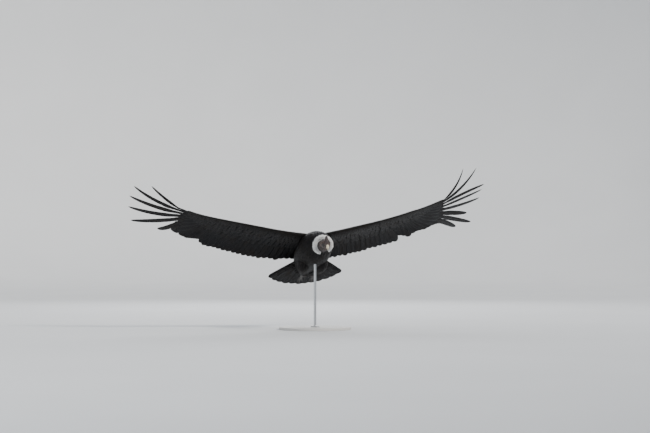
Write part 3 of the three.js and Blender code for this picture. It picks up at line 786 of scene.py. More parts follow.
class Shader:
    """A material and short ways to wire its nodes."""

    def __init__(self, name):
        self.material = bpy.data.materials.new(name)
        self.material.use_nodes = True
        self.nodes = self.material.node_tree.nodes
        self.links = self.material.node_tree.links
        self.body = self.nodes["Principled BSDF"]

    def put(self, value, socket):
        if isinstance(value, bpy.types.NodeSocket):
            self.links.new(value, socket)
        else:
            socket.default_value = value

    def node(self, kind, inputs, **settings):
        made = self.nodes.new("ShaderNode" + kind)
        for key, value in settings.items():
            setattr(made, key, value)
        for key, value in inputs.items():
            self.put(value, made.inputs[key])
        return made

    def math(self, operation, a, b=0.0):
        return self.node("Math", {0: a, 1: b}, operation=operation).outputs[0]

    def between(self, value, low, high, to_low=0.0, to_high=1.0):
        """Value eased from its own limits to others."""
        inputs = {"Value": value, "From Min": low, "From Max": high, "To Min": to_low, "To Max": to_high}
        return self.node("MapRange", inputs, interpolation_type="SMOOTHSTEP").outputs[0]

    def blend(self, share, a, b):
        return self.node("Mix", {0: share, 6: a, 7: b}, data_type="RGBA").outputs[2]

    def value(self, name):
        return self.node("Attribute", {}, attribute_name=name).outputs["Fac"]

    def place(self):
        return self.node("TexCoord", {}).outputs["Object"]

    def noise(self, scale, detail=3.0):
        inputs = {"Vector": self.place(), "Scale": scale, "Detail": detail}
        return self.node("TexNoise", inputs).outputs["Fac"]

    def cells(self, scale, feature="F1"):
        inputs = {"Vector": self.place(), "Scale": scale}
        return self.node("TexVoronoi", inputs, feature=feature).outputs["Distance"]

    def mottled(self, name, scale, depth):
        """A vertex value made uneven by noise."""
        uneven = self.math("MULTIPLY", self.math("SUBTRACT", self.noise(scale), 0.5), depth)
        return self.math("ADD", self.value(name), uneven)

    def patches(self, grain, a, b):
        """Two colours in soft patches."""
        return self.blend(self.between(grain, 0.3, 0.7), a, b)

    def with_crease_shade(self, color, low, share, dark):
        """A colour darkened in the skin's creases by painted shade."""
        crease_shade = self.between(self.value("crease_shade"), low, 0.9)
        return self.blend(self.math("MULTIPLY", crease_shade, share), color, dark)

    def bump(self, height, depth, strength=1.0):
        inputs = {"Height": height, "Distance": depth, "Strength": strength}
        return self.node("Bump", inputs).outputs["Normal"]

    def finish(self, **inputs):
        for key, value in inputs.items():
            self.put(value, self.body.inputs[key.replace("_", " ")])
        return self.material


def plumage_material():
    """Barbs that slope from a shaft, worn brown in places, and pale where the coat's marking says, with
    painted shade in lines between the barbs there.
    """
    shader = Shader("plumage")
    vane = shader.node("UVMap", {}, uv_map="vane").outputs[0]
    across, down, _ = shader.node("SeparateXYZ", {"Vector": vane}).outputs
    off_shaft = shader.math("ABSOLUTE", across)
    down_barb = shader.math("ADD", down, shader.math("MULTIPLY", off_shaft, -0.9))
    barb = shader.math("SINE", shader.math("MULTIPLY", down_barb, 520.0))
    shaft = shader.between(off_shaft, 0.006, 0.011, 1.0, 0.0)
    pale = shader.between(shader.mottled("tone", 160.0, 0.16), 0.1, 0.9)
    worn = shader.math("MULTIPLY", shader.value("wear"), shader.between(shader.noise(9.0), 0.35, 0.75))
    color = shader.blend(pale, shader.blend(worn, BLACK, WORN_BLACK), SILVER)
    # Painted shade between the barbs: darker lines across the pale parts of the vanes.
    lines = shader.between(barb, -1.0, 0.4, 0.2, 0.0)
    color = shader.blend(shader.math("MULTIPLY", lines, pale), color, rgb(0.2, 0.2, 0.2))
    color = shader.blend(shader.math("MULTIPLY", shaft, 0.8), color, rgb(0.035, 0.028, 0.022))
    rough = shader.between(worn, 0.0, 1.0, 0.5, 0.66)
    raised = shader.bump(barb, 0.00025, 0.5)
    return shader.finish(Base_Color=color, Roughness=rough, Specular_IOR_Level=0.11, Normal=raised)


def plumage_skin_material():
    """Skin under the coat, in the coat's own markings."""
    shader = Shader("skin_under_coat")
    color = shader.blend(shader.between(shader.mottled("tone", 90.0, 0.3), 0.1, 0.9), BLACK, SILVER)
    rough = shader.bump(shader.noise(700.0), 0.0006)
    return shader.finish(Base_Color=color, Roughness=0.9, Specular_IOR_Level=0.1, Normal=rough)


def down_material():
    shader = Shader("down")
    shade = shader.between(shader.noise(60.0), 0.3, 0.7, 0.35, 0.0)
    color = shader.blend(shade, DOWN_WHITE, rgb(0.84, 0.83, 0.80))
    fluff = shader.bump(shader.noise(1500.0), 0.0004, 0.5)
    return shader.finish(Base_Color=color, Roughness=1.0, Specular_IOR_Level=0.1, Normal=fluff)


def bare_skin_material():
    """Near-black to dull red skin, with painted shade in its creases, ear, nostril and mouth line, and small
    dark spots and pores.
    """
    shader = Shader("bare_skin")
    flush = shader.math("ADD", shader.value("flush"), shader.math("SUBTRACT", shader.noise(55.0, 5.0), 0.5))
    color = shader.blend(shader.between(flush, 0.2, 0.8), rgb(0.028, 0.023, 0.022), rgb(0.088, 0.050, 0.041))
    # Painted shade: darker in the creases and holes that the head's relief marks.
    color = shader.with_crease_shade(color, 0.35, 0.55, rgb(0.018, 0.011, 0.010))
    spots = shader.between(shader.cells(300.0), 0.1, 0.24, 0.7, 0.0)
    color = shader.blend(spots, color, rgb(0.02, 0.016, 0.015))
    pores = shader.math("ADD", shader.noise(900.0, 4.0), shader.cells(520.0))
    rough = shader.between(shader.noise(120.0), 0.3, 0.7, 0.42, 0.62)
    soft = {"Subsurface_Weight": 0.12, "Subsurface_Radius": (0.004, 0.0015, 0.001)}
    return shader.finish(Base_Color=color, Roughness=rough, **soft, Normal=shader.bump(pores, 0.0004, 0.6))


def comb_material():
    shader = Shader("comb_skin")
    color = shader.patches(shader.noise(70.0, 5.0), rgb(0.030, 0.021, 0.021), rgb(0.070, 0.041, 0.038))
    # Painted shade: darker in the comb's creases.
    color = shader.with_crease_shade(color, 0.3, 0.6, rgb(0.022, 0.012, 0.012))
    grain = shader.math("ADD", shader.cells(420.0), shader.noise(1100.0))
    return shader.finish(Base_Color=color, Roughness=0.48, Normal=shader.bump(grain, 0.0004, 0.7))


def horn_material():
    """Bill: nearly black at its base, ivory from a third of its length on."""
    shader = Shader("horn")
    tip = shader.between(shader.mottled("tip", 110.0, 0.22), 0.2, 0.42)
    grain = shader.noise(240.0, 5.0)
    ivory = shader.patches(grain, rgb(0.78, 0.69, 0.52), rgb(0.66, 0.55, 0.38))
    color = shader.blend(tip, rgb(0.03, 0.026, 0.024), ivory)
    return shader.finish(Base_Color=color, Roughness=0.33, Normal=shader.bump(grain, 0.0002, 0.5))


def claw_material():
    shader = Shader("claw")
    color = shader.blend(shader.noise(220.0), rgb(0.014, 0.012, 0.011), rgb(0.05, 0.044, 0.04))
    return shader.finish(Base_Color=color, Roughness=0.34, Normal=shader.bump(shader.noise(500.0), 0.0002))


def eye_material():
    """Black pupil, brown iris with fine spokes and a dark rim, under a clear coat."""
    shader = Shader("eye")
    out = shader.value("radial")
    rays = shader.noise(2600.0, 2.0)
    iris = shader.blend(rays, rgb(0.045, 0.018, 0.008), rgb(0.14, 0.055, 0.022))
    color = shader.blend(shader.between(out, 2.8, 3.2), rgb(0.002, 0.002, 0.002), iris)
    color = shader.blend(shader.between(out, 5.9, 6.6), color, rgb(0.02, 0.012, 0.01))
    return shader.finish(Base_Color=color, Roughness=0.12, Coat_Weight=1.0, Coat_Roughness=0.03)


def leg_material():
    shader = Shader("leg_scales")
    lines = shader.between(shader.cells(330.0, "DISTANCE_TO_EDGE"), 0.02, 0.16)
    shade = shader.patches(shader.noise(80.0), rgb(0.090, 0.085, 0.080), rgb(0.060, 0.057, 0.055))
    color = shader.blend(lines, rgb(0.036, 0.034, 0.033), shade)
    return shader.finish(Base_Color=color, Roughness=0.62, Normal=shader.bump(lines, 0.0004, 0.8))


def paint_material():
    shader = Shader("stand_paint")
    grain = shader.noise(180.0, 4.0)
    color = shader.patches(grain, rgb(0.56, 0.55, 0.53), rgb(0.53, 0.52, 0.50))
    return shader.finish(Base_Color=color, Roughness=0.42, Normal=shader.bump(grain, 0.0001, 0.4))


def steel_material():
    shader = Shader("stand_steel")
    stretched = shader.node("Mapping", {"Vector": shader.place(), "Scale": (60.0, 60.0, 2600.0)}).outputs[0]
    brushed = shader.node("TexNoise", {"Vector": stretched, "Scale": 1.0, "Detail": 2.0}).outputs["Fac"]
    rough = shader.between(brushed, 0.3, 0.7, 0.26, 0.4)
    return shader.finish(Base_Color=rgb(0.5, 0.51, 0.52), Metallic=1.0, Roughness=rough)


def floor_material():
    shader = Shader("floor")
    color = shader.patches(shader.noise(0.7), rgb(0.72, 0.73, 0.74), rgb(0.70, 0.71, 0.72))
    return shader.finish(Base_Color=color, Roughness=0.9)


PLUMAGE = plumage_material()
PLUMAGE_SKIN = plumage_skin_material()
DOWN = down_material()
BARE_SKIN = bare_skin_material()
COMB_SKIN = comb_material()
HORN = horn_material()
CLAW = claw_material()
EYE = eye_material()
LEG_SCALES = leg_material()
PAINT = paint_material()
STEEL = steel_material()
FLOOR = floor_material()


# Skin

HEAD_VOXEL = 1.3
COMB_VOXEL = 1.2
FOOT_VOXEL = 1.5
BODY_SIDES = 72
COMB_SIDES = 96
BILL_SIDES = 40
EYE_SIDES = 40
ARM_END = 1000
ARM_REAR_PLACES = [60, 500, 780, 930, 1000]
ARM_REAR = [0.44, 0.42, 0.34, 0.2, 0.1]  # part of the chord where the arm's flesh ends


def coat_depth(s):
    return spline(WING_COAT_PLACES, WING_COAT, s)


def trunk_skin():
    y = np.linspace(TRUNK_Y[0] + TRUNK_COAT, TRUNK_Y[-1] - TRUNK_COAT, 80)
    return loft("skin_trunk", trunk_surface(y[:, None], circle(BODY_SIDES)[None], -TRUNK_COAT))


def thigh_skin(side):
    return loft("skin_thigh", tube_rings(sided(THIGH_PATH, side), THIGH_RADIUS, 40, 36, -THIGH_COAT))


def arm_skin(wing):
    """The wing's flesh: an aerofoil that closes behind the bones."""
    s = np.linspace(S_BURIED, ARM_END, 90)[:, None]
    angle = circle(40)[None]
    depth = coat_depth(s)
    front = THICKEST_AT * (2.2 * depth / (1.28 * thickness_at(s))) ** 2
    rear = spline(ARM_REAR_PLACES, ARM_REAR, s)
    u = front + (rear - front) * (1 - np.cos(angle)) / 2
    closing = np.sqrt(np.clip(1 - ((u - front) / (rear - front)) ** 5, 0, 1))
    solid = wing.half_thickness(s, u)
    half = np.maximum(solid - depth, 1.5) * closing * np.abs(np.sin(angle)) ** 0.35
    return loft("skin_arm", wing.point(s, u, np.where(np.sin(angle) >= 0, 1.0, -1.0), half - solid))


def ruff_share(degrees):
    """Fullness of the ruff along its arc."""
    return mix(1, 0.55, ruff_thinning(degrees))


def ruff_ridge():
    degrees = np.linspace(-RUFF_HALF_ARC, RUFF_HALF_ARC, 70)[:, None]
    depth = RUFF_DOWN_DEPTH * ruff_share(degrees)
    return loft("skin_ruff", ruff_surface(degrees, circle(20)[None], -depth))


def head_rings():
    y = np.linspace(HEAD_Y[0], HEAD_Y[-1], 60)
    middles = stacked(0, y, spline(HEAD_Y, HEAD_Z, y))
    wide = spline(HEAD_Y, HEAD_HALF_WIDTH, y)
    high = spline(HEAD_Y, HEAD_HALF_HEIGHT, y)
    return from_head(ovals(middles, SIDEWAYS, UPWARDS, wide, high, 48))


def wattle():
    """Fold of loose skin that hangs under the throat."""
    y = np.linspace(-62, 58, 30)
    share = (y + 62) / 120
    drop = 15 * np.sin(np.pi * share) ** 0.8
    middles = stacked(0, y, -22 - 12 * share - drop * 0.6)
    rings = ovals(middles, SIDEWAYS, UPWARDS, 2 + 3.5 * np.sin(np.pi * share), 4 + drop, 20)
    return loft("skin_wattle", from_head(rings))


def noise_at(points, scale, seed=0.0):
    """Smooth noise between about -1 and 1, with waves about as long as the scale."""
    return np.array([noise.noise(Vector(p) / scale + Vector((seed, -seed, seed))) for p in points.tolist()])


def fold(wave, sharp=3.0):
    """Rounded ridges with narrow creases between them, from -1 to 1."""
    return 1 - 2 * np.exp(-sharp * np.abs(np.sin(wave / 2)))


# Places of the face, alike on both sides: centre and radii in the head's frame
FACE = {
    "brow": ((24, -30, 21), (9, 17, 5)),
    "socket": ((31, -24, 9), (9, 15, 11)),
    "eye": ((33, -24, 9), (20, 10, 10)),
    "round_eye": ((30, -24, 9), (14, 19, 17)),
    "cheekbone": ((29, -20, -6), (8, 16, 5)),
    "ear": ((33, 14, 2), (9, 3.4, 4.2)),
    "ear_rim": ((34, 12, 2), (12, 9, 9)),
    "nostril": ((14, -75, -6), (7, 5.4, 2.3)),
    "nostril_rim": ((14, -75, 0), (6, 8, 2.6)),
    "mouth_corner": ((24, -38, -18), (8, 6, 5)),
}


def head_relief(bird):
    """Height of the details of head and neck at each point, the value flush, and the painted shade of its
    creases and holes there.
    """
    head = to_head(bird)
    head[:, 0] = np.abs(head[:, 0])
    x, y, z = head.T
    at = {name: np.exp(-(((head - centre) / radii) ** 2).sum(-1)) for name, (centre, radii) in FACE.items()}
    slow = noise_at(bird, 26)
    mid = noise_at(bird, 9, 7)
    behind = smooth(y, 18, 50)
    cheek = np.exp(-(((y - 16) / 26) ** 2)) * smooth(x, 8, 20)
    mouth = np.exp(-(((z + 17.5) / 1.3) ** 2)) * (1 - smooth(y, -48, -36)) * smooth(x, 6, 10)
    rise = 3.0 * at["brow"] - 2.2 * at["socket"] + 1.9 * at["cheekbone"]
    rise += 2.2 * at["ear_rim"] - 5.5 * at["ear"]
    rise += 1.3 * at["nostril_rim"] - 5.0 * at["nostril"]
    rise += 1.6 * at["mouth_corner"] - 2.2 * mouth
    rise += 1.5 * np.exp(-(((y + 81) / 3.5) ** 2)) * smooth(np.hypot(x, z + 10), 8, 12)
    folds = fold(z * 0.42 + 0.22 * y + 3.2 * slow + 0.9 * mid)
    rings = fold(y * 0.36 + 0.12 * z + 3.4 * slow + 0.8 * mid)
    lids = fold(np.hypot(y + 24, z - 9) * 0.85 + 1.2 * mid)
    rise += 1.5 * cheek * folds * (1 - at["round_eye"])
    rise += 2.1 * behind * rings
    rise += 0.7 * at["round_eye"] * lids * (1 - at["eye"])
    rise += smooth(z, 8, 24) * (1 - behind) * 0.8 * fold(x * 0.5 + 2.4 * slow)
    rise += 0.45 * mid + 0.28 * noise_at(bird, 3.4, 3)
    flush = np.clip(0.5 + 0.5 * slow + 0.25 * mid - 0.35 * behind + 0.25 * cheek, 0, 1)
    # The third value is painted shade: dark in the creases between folds and in the ear, nostril and mouth
    # line.
    holes = np.clip(1.6 * (at["ear"] + at["nostril"] + 0.8 * mouth), 0, 1)
    return rise, flush, np.clip(0.5 - 0.5 * np.where(behind > 0.5, rings, folds) + holes, 0, 1)


def sculpt_head(obj):
    """Presses folds, sockets, lids, ear, nostril and mouth line into the head's and neck's skin."""
    bird, normal = in_bird(obj)
    rise, flush, crease_shade = head_relief(bird)
    head = to_head(bird + normal * rise[:, None])
    for side in SIDES.values():
        head = with_lids(head, sided(EYE_PLACE, side), side)
    move_points(obj, from_head(head))
    add_values(obj.data, "flush", flush)
    # Painted shade for the skin's colour: dark in its creases and holes.
    add_values(obj.data, "crease_shade", crease_shade)
    return obj


LID_ANGLE = 50  # degrees from the eye's axis at which the lids' edges lie
LID_OPENING = 0.82  # height of the lids' opening, of its width
EYE_AXIS_TURN = 14  # degrees that the eyes look forwards of straight sideways


def eye_axis(side):
    turn = math.radians(EYE_AXIS_TURN)
    return np.array([side * math.cos(turn), -math.sin(turn), 0.08])


def with_lids(points, eye, side):
    """Wraps the skin round an eyeball and opens it between the lids."""
    offset = points - eye
    distance = np.linalg.norm(offset, axis=1)
    near = distance < EYE_RADIUS * 2
    local = offset[near]
    axis = eye_axis(side) / np.linalg.norm(eye_axis(side))
    out = local @ axis
    flat = local - out[:, None] * axis
    tall = flat[:, 2] / LID_OPENING
    wide = np.sqrt(np.maximum((flat**2).sum(1) - flat[:, 2] ** 2, 0))
    angle = np.degrees(np.arctan2(np.hypot(wide, tall), out))
    opened = 1 - smooth(angle, LID_ANGLE - 3, LID_ANGLE + 3)
    lid = EYE_RADIUS + 0.5 + 1.0 * np.exp(-(((angle - LID_ANGLE - 7) / 6) ** 2))
    wrapped = mix(lid, EYE_RADIUS - 2.2, opened)
    weight = 1 - smooth(angle, LID_ANGLE + 14, LID_ANGLE + 52)
    length = mix(distance[near], wrapped, weight * (out > 0))
    points[near] = eye + local / distance[near, None] * length[:, None]
    return points


def toe_line(length, spread, root, side):
    angle = math.radians(spread)
    way = np.array([math.sin(angle), math.cos(angle), 0])
    rise = np.outer(np.array(TOE_RISES) * length, UPWARDS)
    return sided(root + np.outer(np.array(TOE_SHARES) * length, way) + rise, side)


def toe_lines(side):
    lines = [toe_line(length, spread, TOE_ROOT, side) for length, spread in zip(TOE_LENGTHS, TOE_SPREADS)]
    lines.append(toe_line(HALLUX_LENGTH, HALLUX_SPREAD, TOE_ROOT + HALLUX_OFFSET, side))
    return lines


def foot_skin(side):
    """Shank and toes with a row of broad scales along the front of each."""
    tubes = [loft("shank", tube_rings(sided(TARSUS_PATH, side), TARSUS_RADIUS, 40, 24))]
    radii = np.array(TOE_TAPER) * TOE_RADIUS
    t = np.linspace(0, 0.8, 24)
    knuckles = 1 + 0.1 * np.cos(t / 0.8 * 6 * np.pi)
    for line in toe_lines(side):
        size = along_path(radii, t) * knuckles
        tubes.append(loft("toe", ovals_round(along_path(line, t), size, size * 0.92, 20)))
    obj = remeshed(tubes, FOOT_VOXEL, 4)
    bird, normal = in_bird(obj)
    front = smooth(-normal[:, 2], -0.1, 0.5)
    pads = smooth(normal[:, 2], 0.2, 0.8)
    scales = fold(bird[:, 1] * 1.05, 5)
    pebbles = noise_at(bird, 2.6, 5)
    rise = 0.45 * front * scales + 0.4 * (1 - front) * pebbles + 0.3 * pads * noise_at(bird, 5)
    move_points(obj, bird + normal * rise[:, None])
    return obj


def claw_rings(line):
    share = np.linspace(0, 1, 14)
    middles = along_path(line, np.linspace(0.72, 1, 14)) + np.outer(-2.5 * share**2, UPWARDS)
    size = TOE_RADIUS * 0.66 * np.sqrt(1 - 0.96 * share**1.6)
    return ovals_round(middles, size * 0.8, size, 14)


REGIONS = {"body": PLUMAGE_SKIN, "bare": BARE_SKIN, "foot": LEG_SCALES, "ruff": DOWN}
BODY, BARE = 0, 1  # their places in that table


def skin_pieces():
    """Closed pieces of the skin and the region of each, the trunk first."""
    neck = loft("skin_neck", tube_rings(NECK_PATH, NECK_RADIUS, 60, 48, -1.0))
    head = loft("skin_head", head_rings())
    bare = sculpt_head(remeshed([neck, head, wattle()], HEAD_VOXEL, 6))
    feet = [foot_skin(side) for side in SIDES.values()]
    body = [trunk_skin()] + [thigh_skin(side) for side in SIDES.values()]
    body += [arm_skin(wing) for wing in wings]
    found = [(obj, "body") for obj in body] + [(ruff_ridge(), "ruff"), (bare, "bare")]
    return found + [(obj, "foot") for obj in feet]


def nearest_of(points, others):
    """For each of the points, the index of the nearest of the others."""
    tree = KDTree(len(others))
    for i, point in enumerate(others.tolist()):
        tree.insert(point, i)
    tree.balance()
    return np.array([tree.find(point)[1] for point in points.tolist()])


def paint_skin(skin, region, values):
    """Stores the skin's values and gives each face the material of its region."""
    mesh = skin.data
    bird = to_bird(points_of(skin))
    for name, found in {**values, "tone": ruff_tone(bird)}.items():
        if name in mesh.attributes:
            mesh.attributes.remove(mesh.attributes[name])
        add_values(mesh, name, found)
    region[(to_ruff(bird)[:, 1] > 0) & (region == BARE)] = BODY
    mesh.materials.clear()
    for material in REGIONS.values():
        mesh.materials.append(material)
    corner = read(mesh.polygons, "loop_start", np.int32)
    first = read(mesh.loops, "vertex_index", np.int32)[corner]
    mesh.polygons.foreach_set("material_index", region[first].astype(np.int32))
    mesh.shade_smooth()
    mesh.update()


def build_skin():
    """One closed skin over trunk, wings, neck, head and legs."""
    pieces = skin_pieces()
    skin = pieces[0][0]
    points = np.concatenate([points_of(obj) for obj, _ in pieces])
    kinds = [kind for obj, kind in pieces for _ in obj.data.vertices]
    region = np.array([list(REGIONS).index(kind) for kind in kinds])
    names = ("flush", "crease_shade")
    values = {name: np.concatenate([read_values(obj.data, name) for obj, _ in pieces]) for name in names}
    for obj, _ in pieces[1:]:
        unite(skin, obj)
    skin.name = "skin"
    nearest = nearest_of(points_of(skin), points)
    paint_skin(skin, region[nearest], {name: found[nearest] for name, found in values.items()})
    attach(skin, "root")
    flesh = ["trunk", "neck", "head", "thigh_left", "thigh_right", "foot_left", "foot_right"]
    flesh += [f"wing_{wing.name}_{part}" for wing in wings for part in ("arm", "hand")]
    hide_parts(*flesh)
    return skin


def search_tree(obj):
    """Search tree of an object's triangles, in the part's metres."""
    obj.data.calc_loop_triangles()
    corners = read(obj.data.loop_triangles, "vertices", np.int32, 3)
    return BVHTree.FromPolygons(points_of(obj).tolist(), corners.reshape(-1, 3).tolist())


def read_values(mesh, name):
    if name in mesh.attributes:
        return read(mesh.attributes[name].data, "value")
    return np.zeros(len(mesh.vertices), np.float32)


def ruff_tone(points):
    """1 on the skin under the ruff, which is white, and 0 elsewhere."""
    local = to_ruff(points)
    ring = np.hypot(local[:, 0], local[:, 2]) - RUFF_RADIUS
    opening = np.degrees(np.abs(np.arctan2(local[:, 0], local[:, 2])))
    tube = 1 - smooth(np.hypot(ring, local[:, 1]), RUFF_TUBE - 4, RUFF_TUBE + 2)
    return tube * (1 - smooth(opening, RUFF_HALF_ARC, RUFF_HALF_ARC + 8))


# Comb, bill, eyes and claws

def build_comb():
    """Fleshy crest: a cushion inside a smooth closed outline, with lumps and creases."""
    corners = np.array(COMB_OUTLINE + COMB_OUTLINE[:3], float)
    ring = spline(np.arange(len(corners)), corners, np.linspace(1, len(corners) - 2, COMB_SIDES + 1)[:-1])
    middle = ring.mean(0)
    turn = np.linspace(0, np.pi, 27)[:, None]
    ripple = 1 + 0.025 * np.sin(np.arange(COMB_SIDES) / COMB_SIDES * 2 * np.pi * 9)
    flat = middle + (ring - middle)[None] * (np.sin(turn) ** 0.45)[..., None] * ripple[None, :, None]
    thick = COMB_THICKNESS / 2 * np.cos(turn) * np.ones(COMB_SIDES)
    thicker = 1 + 0.45 * smooth(flat[..., 1], 26, -6)
    rings = np.stack([thick * thicker, flat[..., 0], flat[..., 1]], -1)
    obj = remeshed([loft("comb_flesh", from_head(rings))], COMB_VOXEL, 6)
    place, normal = in_bird(obj)
    head = to_head(place)
    creases = fold(head[:, 1] * 0.3 + 0.14 * head[:, 2] + 2.8 * noise_at(place, 20), 4)
    rise = 0.5 * creases + 1.0 * noise_at(place, 9, 2) + 0.45 * noise_at(place, 3.2, 4)
    move_points(obj, place + normal * rise[:, None])
    # Painted shade for the comb's colour: dark in its creases.
    add_values(obj.data, "crease_shade", np.clip(0.5 - 0.5 * creases, 0, 1))
    finished(obj, COMB_SKIN, ["comb"])


def bill_rings(path, half_widths, half_heights, rings, keel):
    """Rings of a bill whose upper side narrows by a keel, and the share of its length at each point."""
    t = np.linspace(0, 1, rings)
    flat = along_path(path, t)
    middles = stacked(0, flat[:, 0], flat[:, 1])
    up = np.cross(unit(np.gradient(middles, axis=0)), SIDEWAYS)
    angle = circle(BILL_SIDES)[None]
    wide = along_path(half_widths, t)[:, None] * (np.cos(angle) * (1 - keel * np.clip(np.sin(angle), 0, 1)))
    high = along_path(half_heights, t)[:, None] * np.sin(angle)
    rings = middles[:, None] + wide[..., None] * [1, 0, 0] + high[..., None] * up[:, None]
    return from_head(rings), np.repeat(t, BILL_SIDES)


def build_bill():
    parts = {
        "bill_upper": (BILL_UPPER_PATH, BILL_UPPER_HALF_WIDTH, BILL_UPPER_HALF_HEIGHT, 64, 0.22),
        "bill_lower": (BILL_LOWER_PATH, BILL_LOWER_HALF_WIDTH, BILL_LOWER_HALF_HEIGHT, 36, -0.1),
    }
    for name, numbers in parts.items():
        rings, share = bill_rings(*numbers)
        obj = loft(name, rings)
        add_values(obj.data, "tip", [*share, 0.0, 1.0])
        finished(obj, HORN, [name])
        obj.name = name + "_horn"


def build_eyes():
    for name, side in SIDES.items():
        axis = unit(eye_axis(side))
        across = square_to(UPWARDS, axis)
        angle = np.linspace(0.02, np.pi - 0.02, 40)
        size = EYE_RADIUS - 0.25 + 0.35 * np.exp(-((angle / 0.5) ** 2))
        middles = sided(EYE_PLACE, side) + axis * (size * np.cos(angle))[:, None]
        radius = size * np.sin(angle)
        rings = ovals(middles, across, np.cross(axis, across), radius, radius, EYE_SIDES)
        obj = loft(f"eyeball_{name}", from_head(rings))
        add_values(obj.data, "radial", np.concatenate([np.repeat(size * angle, EYE_SIDES), [0, 30]]))
        finished(obj, EYE, [f"eye_{name}"])


def build_claws():
    for name, side in SIDES.items():
        obj = merged([loft(f"claws_{name}", claw_rings(line)) for line in toe_lines(side)])
        finished(obj, CLAW)


# Feather tracts

FLIGHT_ROOT = 0.32  # part of the chord where the row of flight feathers is rooted
FLIGHT_INWARD_PLACES = [120, 500, 800, 1100]
FLIGHT_INWARD = [20, 40, 90, 240]  # how much nearer the body each is rooted than its tip
OUTER_VANE = 0.66  # widths of the two vanes in spacings
INNER_VANE = 1.02
VANE_TILT = 3.6  # degrees, outer edge high, so that each lies over the next one out
FINGER_BASES = [[970, 0.06], [850, 0.33]]
SLOT_DEPTHS = {"left": (24, 18), "right": (94, 32)}  # inwards of the free ends, front and rear
PALE_FROM = 15  # last flight feather with a full pale panel above
PALE_TO = 21
SKIN_MARGIN = 2.5  # millimetres under the skin from which a feather is left out


def placed(x, x_limits, y, y_limits, box=(0.0, 0.0, 1.0, 1.0)):
    """Places on a tract's own box of the baking map."""
    across = np.clip((x - x_limits[0]) / (x_limits[1] - x_limits[0]), 0, 1)
    up = np.clip((y - y_limits[0]) / (y_limits[1] - y_limits[0]), 0, 1)
    low = np.array(box[:2]) + BAKE_PATCH
    high = np.array(box[2:]) - 3 * BAKE_PATCH
    return mix(low, high, np.stack([across, up], -1))


def columns(count, first, total):
    """A column of the baking map for each long feather."""
    start = (first + np.arange(count)) / total
    gap = 0.1 / total
    return np.stack([start + gap, 0 * start + 0.01, start + 1 / total - gap, 0 * start + 0.99], -1)


def slot_depth(wing, share):
    """How far the slots open inwards of the free ends, at a part of the chord."""
    return mix(*SLOT_DEPTHS[wing.name], smooth(share, 0, 0.5))


def ragged(shape, splits=0.06, depth=0.16):
    """Uneven vane edges with a few splits."""
    edge = 1 - rng.uniform(0, 0.035, shape)
    return edge * np.where(rng.uniform(0, 1, shape) < splits, 1 - rng.uniform(0.4, 1, shape) * depth, 1)


def tip_slant(t, most, start):
    """How far a long feather's edges reach past its shaft, less towards the tip."""
    return most * (1 - smooth(t, start, 1))


def two_vanes(wing, inner, outer):
    """Widths in the order of the section's places, which run from the bird's right to its left."""
    return np.stack([inner, outer] if wing.side > 0 else [outer, inner], -1)


def row_feathers(coat, wing, total):
    """Secondaries and inner primaries: one behind each notch of the trailing edge."""
    number = np.arange(-2, ROW_FEATHERS)
    count = len(number)
    t = 1 - (1 - np.linspace(0, 1, 56)[None]) ** 1.5
    tip = (S_FIRST_FEATHER + (number + 0.5) * FEATHER_WIDTH)[:, None]
    inward = ease(FLIGHT_INWARD_PLACES, FLIGHT_INWARD, tip)
    s = tip - inward * (1 - t) ** 1.15 + rng.normal(0, 1.2, (count, 1)) * t
    u = mix(FLIGHT_ROOT, 1, t)
    short = np.array([wing.short.get(int(i), 0.0) for i in number])[:, None] + rng.uniform(-2, 2, (count, 1))
    longer = (FEATHER_NOTCH / 2 - short) * t
    centre = wing.point(s, u, 0, 0, longer)
    normal = unit(wing.point(s, u, 1, 0, longer) - wing.point(s, u, -1, 0, longer))
    centre = centre + normal * (rng.normal(0, 0.7, (count, 1)) * t**2)[..., None]
    tilt = -wing.side * np.radians(VANE_TILT + rng.normal(0, 0.3, (count, 1)) + 0 * t)
    shape = outline(t, 0.62, 0.35, 5.5) * FEATHER_WIDTH
    inner = INNER_VANE * shape * ragged((count, t.size))
    outer = OUTER_VANE * shape * ragged((count, t.size), 0.03)
    halves = two_vanes(wing, inner, outer)
    tone = row_tone(number, t, FINE_SECTION.across * wing.side)
    wear = rng.uniform(0, 1, count)
    vanes(coat, FINE_SECTION, centre, rolled(normal, centre, tilt), halves, mix(2.3, 0.9, t),
          mix(0.03, 0.07, t), tone, wear, columns(count, 0, total), tip_slant(t, 0.55, 0.7))


def row_tone(number, t, x):
    """Pale outer vanes on top of the secondaries, with dark tips."""
    pale = (1 - smooth(number, PALE_FROM, PALE_TO)) * mix(0.4, 1, smooth(number, -1, 3))
    dark_tip = 1 - smooth(t[..., None], 0.9, 0.955)
    outer = 0.26 + 0.7 * smooth(x, -0.06, 0.1)
    return pale[:, None, None] * dark_tip * outer * np.clip(FINE_SECTION.level, 0, 1)


